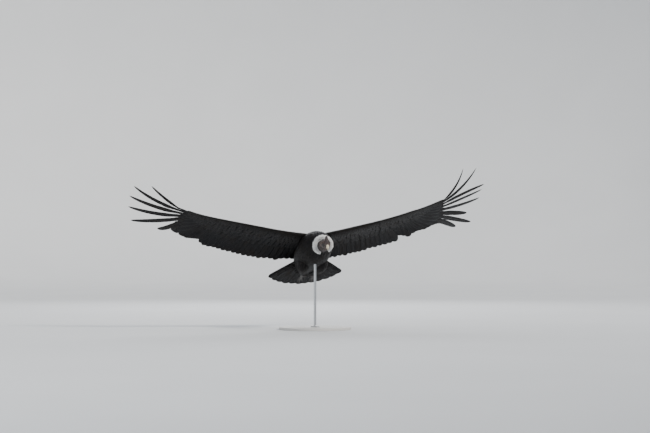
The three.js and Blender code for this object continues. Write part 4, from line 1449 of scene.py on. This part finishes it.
def finger_widths(wing, number, t, path):
    """Widths before and behind the shaft of a free primary, buried up to its slots."""
    chord = chord_at(np.float64(S_SLOTS))
    share = finger_share(number)
    before = finger_share(max(number - 1, -0.5))
    buried = mix(0.45, 1, smooth(t, -1, -0.5)) * ((finger_share(number + 1) - before) / 2 * chord) * 0.8
    share_along = mix(finger_base(number)[1], share, np.clip(1 + t, 0, 1))
    free = np.clip(t, 0, 1)
    widening = mix(FINGER_NARROW[number], 1, smooth(free, 0, FINGER_WIDENS_BY))
    spread = widening * np.sqrt(1 - 0.97 * free**3) * wing.fingers[number][5] / 2
    point = np.sqrt(np.clip(1 - smooth(t, 0.93, 1.0) ** 2, 0.02, 1))
    strides = np.linalg.norm(np.gradient(path, axis=0), axis=1)
    from_slot = np.cumsum(strides) - np.cumsum(strides)[np.searchsorted(t, 0)]
    depth = slot_depth(wing, share)
    opened = smooth(from_slot, -depth - 34, -depth + 26)
    last = number == len(wing.fingers) - 1
    opened_behind = smooth(from_slot, 10, 90) if last else opened
    buried_leading = np.minimum(buried * 0.8, share_along * chord + 1)
    buried_trailing = np.minimum(buried * 1.1, (1 - share_along) * chord + 8)
    leading = mix(buried_leading, 0.9 * spread * point, opened)
    trailing = mix(buried_trailing, 1.1 * spread * point, opened_behind)
    return leading * ragged(t.shape, 0.02, 0.1), trailing * ragged(t.shape, 0.05, 0.14)


def finger_base(number):
    """Place and part of the chord at which a free primary is rooted in the hand."""
    return mix(*np.array(FINGER_BASES), number / (SLOT_COUNT - 1))


def finger_feathers(coat, wing, first, total):
    """Free primaries with their broad bases inside the hand."""
    t = np.concatenate([np.linspace(-1, 0, 22)[:-1], 1 - (1 - np.linspace(0, 1, 58)) ** 1.3])
    for number in range(len(wing.fingers)):
        path, along, across = wing.finger(number, t, finger_base(number))
        path, normal, along = (wing.mirrored(v) for v in (path, np.cross(along, across), along))
        tilt = -wing.side * np.radians(VANE_TILT) * (1 - smooth(t, -0.05, 0.12))
        normal = rotated(square_to(normal, along), along, tilt)
        leading, trailing = finger_widths(wing, number, t, path)
        halves = two_vanes(wing, trailing, leading)
        thick = mix(2.8, 1.0, np.clip(t, 0, 1) ** 0.7)
        vanes(coat, FINE_SECTION, path[None], normal[None], halves[None], thick[None], 0.04, 0.0,
              rng.uniform(0, 1), columns(1, first + number, total), tip_slant(t, 0.5, 0.75)[None])


def build_flight_feathers(wing):
    coat = Coat()
    rows = ROW_FEATHERS + 2
    total = rows + len(wing.fingers)
    row_feathers(coat, wing, total)
    finger_feathers(coat, wing, rows, total)
    nodes = [f"wing_{wing.name}_{part}" for part in ("secondaries", "inner_primaries")]
    nodes += [f"wing_{wing.name}_primary_{i + 1}" for i in range(len(wing.fingers))]
    coat.build(f"flight_feathers_{wing.name}", PLUMAGE, nodes)


# Covert rows: root and its distance from the leading edge as the square root of a part of the
# chord, then length, spacing and width in millimetres
UPPER_COVERTS = [
    (-0.03, 15, 9, 10),
    (0.03, 16, 9, 10),
    (0.08, 18, 10, 11.5),
    (0.125, 22, 12, 13.5),
    (0.17, 28, 14, 16),
    (0.22, 34, 16, 18.5),
    (0.27, 42, 18, 21),
    (0.33, 52, 21, 24),
    (0.4, 62, 24, 28),
    (0.47, 76, 28, 33),
    (0.53, 100, 34, 40),
    (0.615, 150, 40.8, 47),
]
LOWER_COVERTS = [
    (0.03, 15, 9, 10),
    (0.08, 18, 10, 11.5),
    (0.125, 22, 12, 13.5),
    (0.18, 28, 15, 17),
    (0.24, 36, 18, 21),
    (0.31, 46, 22, 25),
    (0.39, 58, 26, 30),
    (0.47, 72, 30, 35),
    (0.54, 92, 35, 41),
    (0.61, 122, 40.8, 47),
]
COVERT_FIRST = 58
COVERT_BRIDGE = 3  # how far the coverts reach into the slots
LARGE_COVERT = 90  # length from which a covert has a finer mesh
PALE_COVERT = 140  # length from which an upper covert is pale over the inner wing
PALE_COVERTS_END = (640, 820)  # places along the leading edge between which that fades out
LAY_PLACES = [0, 500, 850, 1100]
LAY_ANGLES = [4, 10, 30, 70]  # degrees from straight back, outwards
ALULA_ROOT = 716
ALULA_LENGTHS = np.array([150.0, 128, 104])
ALULA_WIDTHS = np.array([24.0, 26, 28])


def edge_surface(wing, level):
    """The wing's surface from its leading edge back. Below 0 it goes round to the other side."""

    def surface(s, v, height):
        turn = np.clip(v / 0.1, -1, 1) * np.pi / 2
        side = np.where(v < 0, -level, level)
        return wing.point(s, v * v, side, height * np.abs(np.sin(turn)), -height * np.cos(turn))

    return surface


def covert_row(coat, wing, level, row):
    root, row_length, spacing, width = row
    count = int((S_SLOTS - COVERT_FIRST) / spacing)
    s = COVERT_FIRST + (np.arange(count) + rng.uniform(0.3, 0.7, count)) * spacing
    v = root + rng.normal(0, 0.004, count)
    turn = np.radians(ease(LAY_PLACES, LAY_ANGLES, s) * (1 - 0.4 * root**2) + rng.normal(0, 2.5, count))
    end = S_SLOTS - slot_depth(wing, root**2 + 0.1) + COVERT_BRIDGE + rng.normal(0, 9, count)
    v_middle = np.sqrt(np.maximum(v, 0.02) ** 2 + np.cos(turn) * row_length / 2 / chord_at(s))
    stride = np.hypot(1.436 * thickness_at(s) * np.exp(-6 * v_middle**2), 2 * chord_at(s) * v_middle)
    length = varied(row_length, count, 0.93, 1.07)
    length = np.minimum(length, (end - s) / np.maximum(np.sin(turn), 0.05))
    s, v, turn, stride, length = chosen(length > 8, s, v, turn, stride, length)
    rows, section = (8, PLAIN_SECTION) if row_length > LARGE_COVERT else (5, SMALL_SECTION)
    pale = level > 0 and row_length > PALE_COVERT
    tone = covert_tone(s, rows, section) if pale else 0.0
    width = varied(width, len(s), 0.92, 1.08)
    heights = (-0.8 * coat_depth(s), rng.normal(-0.2, 0.25, len(s)))
    bake = placed(s, (0, S_SLOTS), v, (-0.1, 0.7), (0.0, 0.0, 1.0, 0.9))
    lay(coat, edge_surface(wing, level), s, v, np.sin(turn), np.cos(turn) / stride, length, width, heights,
        bake, tone, rows, section, narrow=0.6, blunt=3.2, roll=0.035)


def covert_tone(s, rows, section):
    """Pale outer halves of the greater coverts over the inner wing."""
    pale = (1 - smooth(s, *PALE_COVERTS_END)) * mix(0.5, 1, smooth(s, 60, 160))
    share = ROW_SHARES[rows][None, :, None]
    return pale[:, None, None] * smooth(share, 0.25, 0.5) * np.ones(section.sides)


def build_coverts(wing):
    for level, name, rows in ((1, "upper", UPPER_COVERTS), (-1, "lower", LOWER_COVERTS)):
        coat = Coat()
        for row in rows[::-1]:
            covert_row(coat, wing, level, row)
        if level > 0:
            alula(coat, wing)
        coat.build(f"{name}_coverts_{wing.name}", PLUMAGE)


def alula(coat, wing):
    """Three stiff feathers of the thumb, along the wing's leading edge."""
    number = np.arange(len(ALULA_LENGTHS))
    s = ALULA_ROOT + 6.0 * number
    v = 0.31 + 0.045 * number
    bake = placed(s, (0, S_SLOTS), v, (0, 0.7), (0.0, 0.92, 1.0, 1.0))
    heights = (-0.6, 1.3 - 0.3 * number)
    lay(coat, edge_surface(wing, 1), s, v, 0.985, 0.0001 * number, ALULA_LENGTHS, ALULA_WIDTHS, heights,
        bake, rows=8, section=PLAIN_SECTION, narrow=0.6, widest=0.7, blunt=4, thick=0.9, cup=0.1, roll=0.08)


# Body

def chosen(kept, *arrays):
    """The same rows of several arrays."""
    return [values[kept] for values in arrays]


def varied(values, count, low=0.9, high=1.1):
    """Lengths or widths made uneven."""
    return values * rng.uniform(low, high, count)


def rows_round(places, radius, across, low=0, high=2 * math.pi):
    """Staggered places in rows round a tube, and the angle at each."""
    step = places[1] - places[0]
    found = []
    for i, place in enumerate(places):
        count = max(int(radius(place) * (high - low) / across), 4)
        turn = (np.arange(count) + 0.5 * (i % 2) + rng.uniform(-JITTER, JITTER, count)) / count
        along = place + rng.uniform(-JITTER, JITTER, count) * step
        found.append(np.stack([along, low + turn * (high - low)]))
    return np.concatenate(found, 1)


def clear_of_skin(points):
    """True where a point is not deep under the skin."""
    kept = []
    for point in to_part(points).tolist():
        place, normal, _, distance = SKIN_TREE.find_nearest(Vector(point))
        inside = (Vector(point) - place).dot(normal) < 0
        kept.append(not inside or distance < SKIN_MARGIN / 1000)
    return np.array(kept)


TRUNK_END = 352  # the tail's coverts begin where the trunk's feathers end
ROW_STEP = 11.5  # between the rows of feathers round trunk and thighs
TRUNK_SPACING = 13  # between neighbours in a row
SMALL_SPACING = 12
TRUNK_LENGTH_PLACES = [-260, -120, 80, 390]
BACK_LENGTHS = [34, 52, 66, 84]
BELLY_LENGTHS = [30, 48, 62, 84]
THIGH_LENGTHS = [48, 46, 34]  # at the top, in the middle and at the foot
NECK_LENGTHS = (30, 38)
SCAPULAR_LENGTHS = (60, 105)  # in front and behind
TAIL_COVERT_LENGTHS = [95, 120]  # near the trunk and away from it
TRUNK_WIDTH, NECK_WIDTH, SCAPULAR_WIDTH, TAIL_COVERT_WIDTH, THIGH_WIDTH = 24, 19, 30, 38, 17


def trunk_radius(y):
    return (spline(TRUNK_Y, TRUNK_HALF_WIDTH, y) + spline(TRUNK_Y, TRUNK_HALF_HEIGHT, y)) / 2


def trunk_tract(coat, low, high, lengths, box):
    places = np.arange(TRUNK_Y[0] + 6, TRUNK_END, ROW_STEP)
    y, angle = rows_round(places, trunk_radius, TRUNK_SPACING, low, high)
    slope = (trunk_radius(y + 8) - trunk_radius(y - 8)) / 16
    length = varied(ease(TRUNK_LENGTH_PLACES, lengths, y), len(y))
    da = 1 / np.hypot(1, slope)
    db = rng.normal(0, 0.07, len(y)) / trunk_radius(y)
    kept = clear_of_skin(trunk_surface(y + da * length * 0.5, angle, 0.0))
    y, angle, da, db, length = chosen(kept, y, angle, da, db, length)
    width = varied(TRUNK_WIDTH, len(y))
    heights = (-TRUNK_COAT + 0.5, rng.normal(-0.4, 0.4, len(y)))
    bake = placed(angle, (low, high), y, (TRUNK_Y[0], TRUNK_Y[-1]), box)
    lay(coat, trunk_surface, y, angle, da, db, length, width, heights, bake,
        narrow=0.45, blunt=2.6, thick=0.45)


def path_length(path):
    return np.linalg.norm(np.diff(path, axis=0), axis=1).sum()


def neck_tract(coat, box):
    """Feathers of the neck's base, up to the ruff."""
    places = np.arange(0.34, 0.78, 0.042)
    t, angle = rows_round(places, partial(along_path, NECK_RADIUS), SMALL_SPACING)
    surface = partial(path_surface, NECK_PATH, NECK_RADIUS)
    dt = -1 / path_length(NECK_PATH)
    length = rng.uniform(*NECK_LENGTHS, len(t))
    kept = clear_of_skin(surface(t - length * 0.5 / path_length(NECK_PATH), angle, 2.0))
    kept &= to_ruff(surface(t, angle, 0.0))[:, 1] > -8
    t, angle, length = chosen(kept, t, angle, length)
    turn = rng.normal(0, 0.0012, len(t))
    width = varied(NECK_WIDTH, len(t))
    heights = (-0.5, rng.normal(5.0, 0.6, len(t)))
    bake = placed(angle, (0, 2 * math.pi), t, (0.3, 0.8), box)
    lay(coat, surface, t, angle, dt, turn, length, width, heights, bake, rows=5,
        widest=0.55, blunt=2.4, thick=0.45, cup=0.06, roll=0.08)


def scapulars(coat, wing, box):
    """Long feathers of the shoulder that lie back over the wing's root."""
    s, u = grid(44, 132, 21, 0.03, 0.5, 0.05)
    length = varied(mix(*SCAPULAR_LENGTHS, u / 0.5), len(s))
    ds = rng.normal(-0.04, 0.06, len(s))
    width = varied(SCAPULAR_WIDTH, len(s))
    heights = (-2.0, rng.normal(1.6, 0.5, len(s)))
    bake = placed(s, (30, 140), u, (0, 0.55), box)
    lay(coat, partial(wing.over, 1), s, u, ds, 1 / chord_at(s), length, width, heights, bake)


def tail_coverts(coat, level, box):
    place, radius = grid(-0.92, 0.92, 0.08, 205, 350, 20)
    length = varied(ease([200, 345], TAIL_COVERT_LENGTHS, radius), len(place), 0.92, 1.06)
    turn = rng.normal(0, 0.00012, len(place))
    width = varied(TAIL_COVERT_WIDTH, len(place))
    heights = (6.0 - 0.02 * (radius - 200), 3.4 + rng.normal(0, 0.4, len(place)))
    bake = placed(place, (-1, 1), radius, (200, 350), box)

    def surface(a, b, height):
        return tail_point(a, b, level * height)

    lay(coat, surface, place, radius, turn, 1, length, width, heights, bake)


def build_body():
    back = Coat()
    trunk_tract(back, -0.12, math.pi + 0.12, BACK_LENGTHS, (0.0, 0.0, 0.7, 1.0))
    for i, wing in enumerate(wings):
        scapulars(back, wing, (0.7, 0.25 * i, 1.0, 0.25 * (i + 1)))
    tail_coverts(back, 1, (0.7, 0.5, 1.0, 0.75))
    neck_tract(back, (0.7, 0.75, 1.0, 1.0))
    back.build("back_feathers", PLUMAGE)
    belly = Coat()
    trunk_tract(belly, math.pi, 2 * math.pi, BELLY_LENGTHS, (0.0, 0.0, 0.7, 1.0))
    tail_coverts(belly, -1, (0.7, 0.0, 1.0, 1.0))
    belly.build("belly_feathers", PLUMAGE)


def thigh_tract(coat, path, box):
    step = 1 / path_length(THIGH_PATH)
    places = np.arange(0.1, 1.0, ROW_STEP / path_length(THIGH_PATH))
    t, angle = rows_round(places, partial(along_path, THIGH_RADIUS), SMALL_SPACING)
    length = varied(ease([0, 0.5, 1], THIGH_LENGTHS, t), len(t))
    surface = partial(path_surface, path, THIGH_RADIUS)
    kept = clear_of_skin(surface(t + length * 0.5 / path_length(THIGH_PATH), angle, 0.0))
    t, angle, length = chosen(kept, t, angle, length)
    turn = rng.normal(0, 0.0022, len(t))
    width = varied(THIGH_WIDTH, len(t), 0.85, 1.1)
    heights = (-THIGH_COAT + 0.5, rng.normal(-0.5, 0.6, len(t)))
    bake = placed(angle, (0, 2 * math.pi), t, (0, 1), box)
    lay(coat, surface, t, angle, step, turn, length, width, heights, bake, rows=5,
        widest=0.5, blunt=2.2, thick=0.45, roll=0.08)


def build_thighs():
    coat = Coat()
    for i, side in enumerate(SIDES.values()):
        thigh_tract(coat, sided(THIGH_PATH, side), (0.5 * i, 0.0, 0.5 * i + 0.5, 1.0))
    coat.build("thigh_feathers", PLUMAGE)


TAIL_TILT = 2.6  # degrees
TAIL_VANE_WIDTH = 46  # at the most, the mean of a feather's two vanes
TAIL_INNER_VANE = 1.08  # of that mean
TAIL_OUTER_VANE = 0.92


def build_tail():
    """Twelve broad feathers in a fan, the middle pair on top."""
    coat = Coat()
    t = 1 - (1 - np.linspace(0, 1, 50)[None]) ** 1.5
    number = np.arange(TAIL_FEATHERS)[:, None]
    place = (2 * number + 1) / TAIL_FEATHERS - 1
    spacing = 2 * math.radians(TAIL_HALF_ANGLE) / TAIL_FEATHERS
    reach = TAIL_RADIUS - TAIL_CORNER_SHORTER * place**2 + 1.5 + rng.uniform(-3, 3, place.shape)
    radius = mix(TAIL_INNER_RADIUS, reach, t)
    topmost = number == TAIL_FEATHERS // 2
    lift = 1.2 * (1 - np.abs(place)) - 0.6 + 2.2 * topmost
    centre = tail_point(place + rng.normal(0, 0.006, place.shape) * t, radius, lift)
    normal = unit(tail_point(place + 0 * t, radius, lift + 1.0) - tail_point(place + 0 * t, radius, lift))
    tilt = -np.sign(place) * np.radians(TAIL_TILT) * ~topmost + 0 * t
    shape = outline(t, 1.0, 0.3, 8) * np.minimum(radius * spacing * 0.78, TAIL_VANE_WIDTH)
    inner = shape * TAIL_INNER_VANE * ragged((TAIL_FEATHERS, t.size), 0.08)
    outer = shape * TAIL_OUTER_VANE * ragged((TAIL_FEATHERS, t.size), 0.05)
    left = place > 0
    halves = np.stack([np.where(left, inner, outer), np.where(left, outer, inner)], -1)
    wear = rng.uniform(0, 1, TAIL_FEATHERS)
    vanes(coat, FINE_SECTION, centre, rolled(normal, centre, tilt), halves, mix(2.3, 0.9, t), 0.05, 0.0,
          wear, columns(TAIL_FEATHERS, 0, TAIL_FEATHERS), tip_slant(t, 0.5, 0.75))
    coat.build("tail_feathers", PLUMAGE, ["tail"])


RUFF_TUFTS = 9000  # on each half
RUFF_TUFT_LENGTHS = (11.5, 17.0)
RUFF_TUFT_CURL = 4.5
RUFF_ROWS = np.array([0, 0.5, 1])
RUFF_HALF_WIDTHS = np.array([0.9, 1.5, 0.14])


def tufts(coat, centre, normal, half, thick, tone, wear, bake):
    """Thin strands, flat across one normal each."""
    normal = np.broadcast_to(normal[:, None], centre.shape)
    vanes(coat, TUFT_SECTION, centre, normal, np.stack([half, half], -1), thick, 0.0, tone, wear, bake)


def build_ruff(name, nodes):
    """Half of the ruff: dense soft tufts of down that curl out all round a ridge."""
    side = SIDES[name]
    degrees = rng.uniform(-3, RUFF_HALF_ARC, RUFF_TUFTS) * side
    around = rng.uniform(0, 2 * np.pi, RUFF_TUFTS)
    root = ruff_surface(degrees, around, -RUFF_DOWN_DEPTH * ruff_share(degrees))
    outward = unit(ruff_surface(degrees, around, 1.0) - ruff_surface(degrees, around, 0.0))
    kept = clear_of_skin(root + outward * 8)
    degrees, around, root, outward = chosen(kept, degrees, around, root, outward)
    count = len(root)
    next_along = ruff_surface(degrees + 1, around, 0.0)
    swirl = square_to(unit(next_along - ruff_surface(degrees, around, 0.0)), outward)
    away = side * swirl * smooth(np.abs(degrees), 0, 45)[:, None]
    clump = np.stack([noise_at(root, 11, seed) for seed in (1, 5, 9)], -1)
    way = unit(outward + (away * 0.4 + clump * 0.65 + rng.normal(0, 0.24, (count, 3))))
    length = rng.uniform(*RUFF_TUFT_LENGTHS, count) * mix(0.5, 1, ruff_share(degrees))
    length = length * (0.64 + 0.4 * dot(way, outward)[:, 0] ** 2)
    curl = square_to(clump + away * 0.6 + rng.normal(0, 0.3, (count, 3)), outward) * RUFF_TUFT_CURL
    t = RUFF_ROWS[None, :, None]
    centre = root[:, None] + way[:, None] * length[:, None, None] * t + curl[:, None] * t**2
    normal = unit(rng.normal(0, 1, (count, 3)))
    half = RUFF_HALF_WIDTHS * rng.uniform(0.75, 1.2, (count, 1))
    coat = Coat()
    tufts(coat, centre, normal, half, 0.6, 1.0, rng.uniform(0, 1, count),
          placed(np.abs(degrees), (0, RUFF_HALF_ARC), around, (0, 2 * np.pi)))
    coat.build(f"ruff_down_{name}", DOWN, nodes)


BRISTLES = 1500


def build_bristles(skin):
    """Short dark bristles scattered over the head's bare skin."""
    points, normals = in_bird(skin)
    head = to_head(points)
    eye_distance = np.linalg.norm(np.abs(head) - np.abs(EYE_PLACE), axis=1)
    on_head = (head[:, 1] > -60) & (head[:, 1] < 46) & (np.abs(head[:, 0]) < 44) & (np.abs(head[:, 2]) < 46)
    found = rng.choice(np.nonzero(on_head & (eye_distance > 16))[0], BRISTLES, replace=False)
    root, normal, place = chosen(found, points, normals, head)
    back = square_to(HEAD @ np.array([0.0, 1, -0.3]), normal)
    way = unit(0.5 * normal + back + rng.normal(0, 0.3, root.shape))
    length = rng.uniform(2.5, 5.5, BRISTLES)[:, None, None]
    t = np.array([-0.15, 0.5, 1.0])[None, :, None]
    centre = root[:, None] + way[:, None] * length * t - normal[:, None] * length * 0.25 * t**2
    half = np.array([0.22, 0.2, 0.05]) * np.ones((BRISTLES, 1))
    bake = placed(np.arctan2(place[:, 0], place[:, 2]), (-np.pi, np.pi), place[:, 1], (-62, 48))
    coat = Coat()
    tufts(coat, centre, normal, half, 0.3, 0.0, 0.5, bake)
    coat.build("head_bristles", PLUMAGE)


# Stand, stage, lights and camera

def lathed(profile, sides):
    """Points turned about the Z axis. The profile is (radius, height)."""
    radius, height = np.array(profile, float).T
    angle = circle(sides)
    return stacked(np.outer(radius, np.cos(angle)), np.outer(radius, np.sin(angle)), height[:, None])


def upright(name, profile, sides, material, node):
    """Turned piece of the stand. The profile is in millimetres."""
    rings = lathed(profile, sides)
    points = np.concatenate([rings.reshape(-1, 3), rings[0].mean(0)[None], rings[-1].mean(0)[None]])
    obj = new_object(name, points / 1000, *tube_faces(len(profile), sides))
    smooth_flats(finished(obj, material, [node]))


def rounded(corner, radius, start, end, steps=6):
    """Points of a rounded corner about a centre, between two angles in degrees."""
    angle = np.radians(np.linspace(start, end, steps))
    return [(corner[0] + radius * math.cos(a), corner[1] + radius * math.sin(a)) for a in angle]


def build_stand():
    rim, top = BASE_RADIUS, BASE_THICKNESS
    edge = [(1, 0), (rim - 14, 0), (rim - 2, 0), (rim, 2), *rounded((rim - 5, top - 5), 5, 0, 90)]
    edge += [(rim - 14, top), (60, top), (1, top)]
    upright("stand_board", edge, 128, PAINT, "stand_base")
    foot = ROD_FOOT_RADIUS
    low, high = top + 0.3, top + ROD_FOOT_HEIGHT
    profile = [(1, low), (foot - 1, low), (foot, low + 1), *rounded((foot - 2, high - 2), 2, 0, 90)]
    profile += [(ROD_RADIUS + 6, high), *rounded((ROD_RADIUS + 6, high + 6), 6, -90, -180)]
    profile += [(ROD_RADIUS, ROD_TOP - 0.5), (ROD_RADIUS - 0.5, ROD_TOP), (1, ROD_TOP)]
    upright("stand_post", profile, 48, STEEL, "stand_rod")


def smooth_flats(obj):
    """Keeps flat faces flat beside rounded edges when they are shaded."""
    obj.modifiers.new("normals", "WEIGHTED_NORMAL").keep_sharp = True
    baked_down(obj)


FLOOR_FLAT = 17.0  # metres
FLOOR_BEND = 6.0
FLOOR_TOP = 12.0
FLOOR_SIDES = 96


def build_stage():
    """Round floor that curves up into a wall far behind."""
    bend = np.radians(np.linspace(0, 90, 16))
    profile = [(0.02, 0.0), (4.0, 0.0), (10.0, 0.0)]
    profile += [(FLOOR_FLAT + FLOOR_BEND * math.sin(a), FLOOR_BEND * (1 - math.cos(a))) for a in bend]
    profile.append((FLOOR_FLAT + FLOOR_BEND, FLOOR_TOP))
    points = np.concatenate([lathed(profile, FLOOR_SIDES).reshape(-1, 3), [[0.0, 0, 0]]])
    quads, tris = tube_faces(len(profile), FLOOR_SIDES)
    floor = new_object("floor", points, quads, tris[:FLOOR_SIDES])
    floor.data.materials.append(FLOOR)


CAMERA_AZIMUTH = -13.0  # degrees
CAMERA_DISTANCE = 13.0  # metres
CAMERA_LENS = 92.16
AIM_RIGHT = 0.0875  # metres from the bird's middle to the picture's
AIM_UP = 0.26


def aimed(obj, target):
    obj.rotation_euler = (Vector(target) - obj.location).to_track_quat("-Z", "Y").to_euler()


def build_camera():
    turn = math.radians(CAMERA_AZIMUTH)
    towards = Vector((math.sin(turn), -math.cos(turn), 0))
    right = Vector((math.cos(turn), math.sin(turn), 0))
    middle = Vector(BIRD_POSITION / 1000)
    camera = bpy.data.objects.new("camera", bpy.data.cameras.new("camera"))
    camera.data.lens = CAMERA_LENS
    camera.location = middle + towards * CAMERA_DISTANCE
    bpy.context.scene.collection.objects.link(camera)
    aimed(camera, middle + right * AIM_RIGHT + Vector((0, 0, AIM_UP)))
    bpy.context.scene.camera = camera


KEY_FROM = (0.52, -0.62, 0.59)  # direction that the key light comes from
KEY_STRENGTH = 2.9
KEY_SPREAD = 14  # degrees
LAMPS = {
    "fill": ((-6.0, -6.0, 3.0), 5.0, 150.0, (0.9, 0.95, 1.0)),
    "rim": ((1.0, 6.0, 4.0), 3.0, 190.0, (0.95, 0.97, 1.0)),
}
WORLD_STRENGTH = 0.68


def new_lamp(name, kind, power, color):
    lamp = bpy.data.objects.new(name, bpy.data.lights.new(name, kind))
    lamp.data.energy = power
    lamp.data.color = color
    bpy.context.scene.collection.objects.link(lamp)
    return lamp


def build_lights():
    key = new_lamp("key", "SUN", KEY_STRENGTH, (1.0, 0.965, 0.91))
    key.data.angle = math.radians(KEY_SPREAD)
    key.location = Vector(KEY_FROM) * 8
    aimed(key, (0, 0, 0))
    for name, (place, size, power, color) in LAMPS.items():
        lamp = new_lamp(name, "AREA", power, color)
        lamp.data.shape = "DISK"
        lamp.data.size = size
        lamp.location = place
        aimed(lamp, (0, 0, 0.7))
    world = bpy.data.worlds.new("studio")
    world.use_nodes = True
    sky = world.node_tree.nodes["Background"]
    sky.inputs["Color"].default_value = rgb(0.88, 0.93, 1.0)
    sky.inputs["Strength"].default_value = WORLD_STRENGTH
    bpy.context.scene.world = world


# The model, in the order of its random draws

skin = build_skin()
SKIN_TREE = search_tree(skin)
build_comb()
build_bill()
build_eyes()
build_claws()
for each in wings:
    build_flight_feathers(each)
    build_coverts(each)
build_body()
build_thighs()
build_tail()
build_bristles(skin)
build_ruff("left", ["ruff"])
build_ruff("right", ())
build_stand()
build_stage()
build_camera()
build_lights()
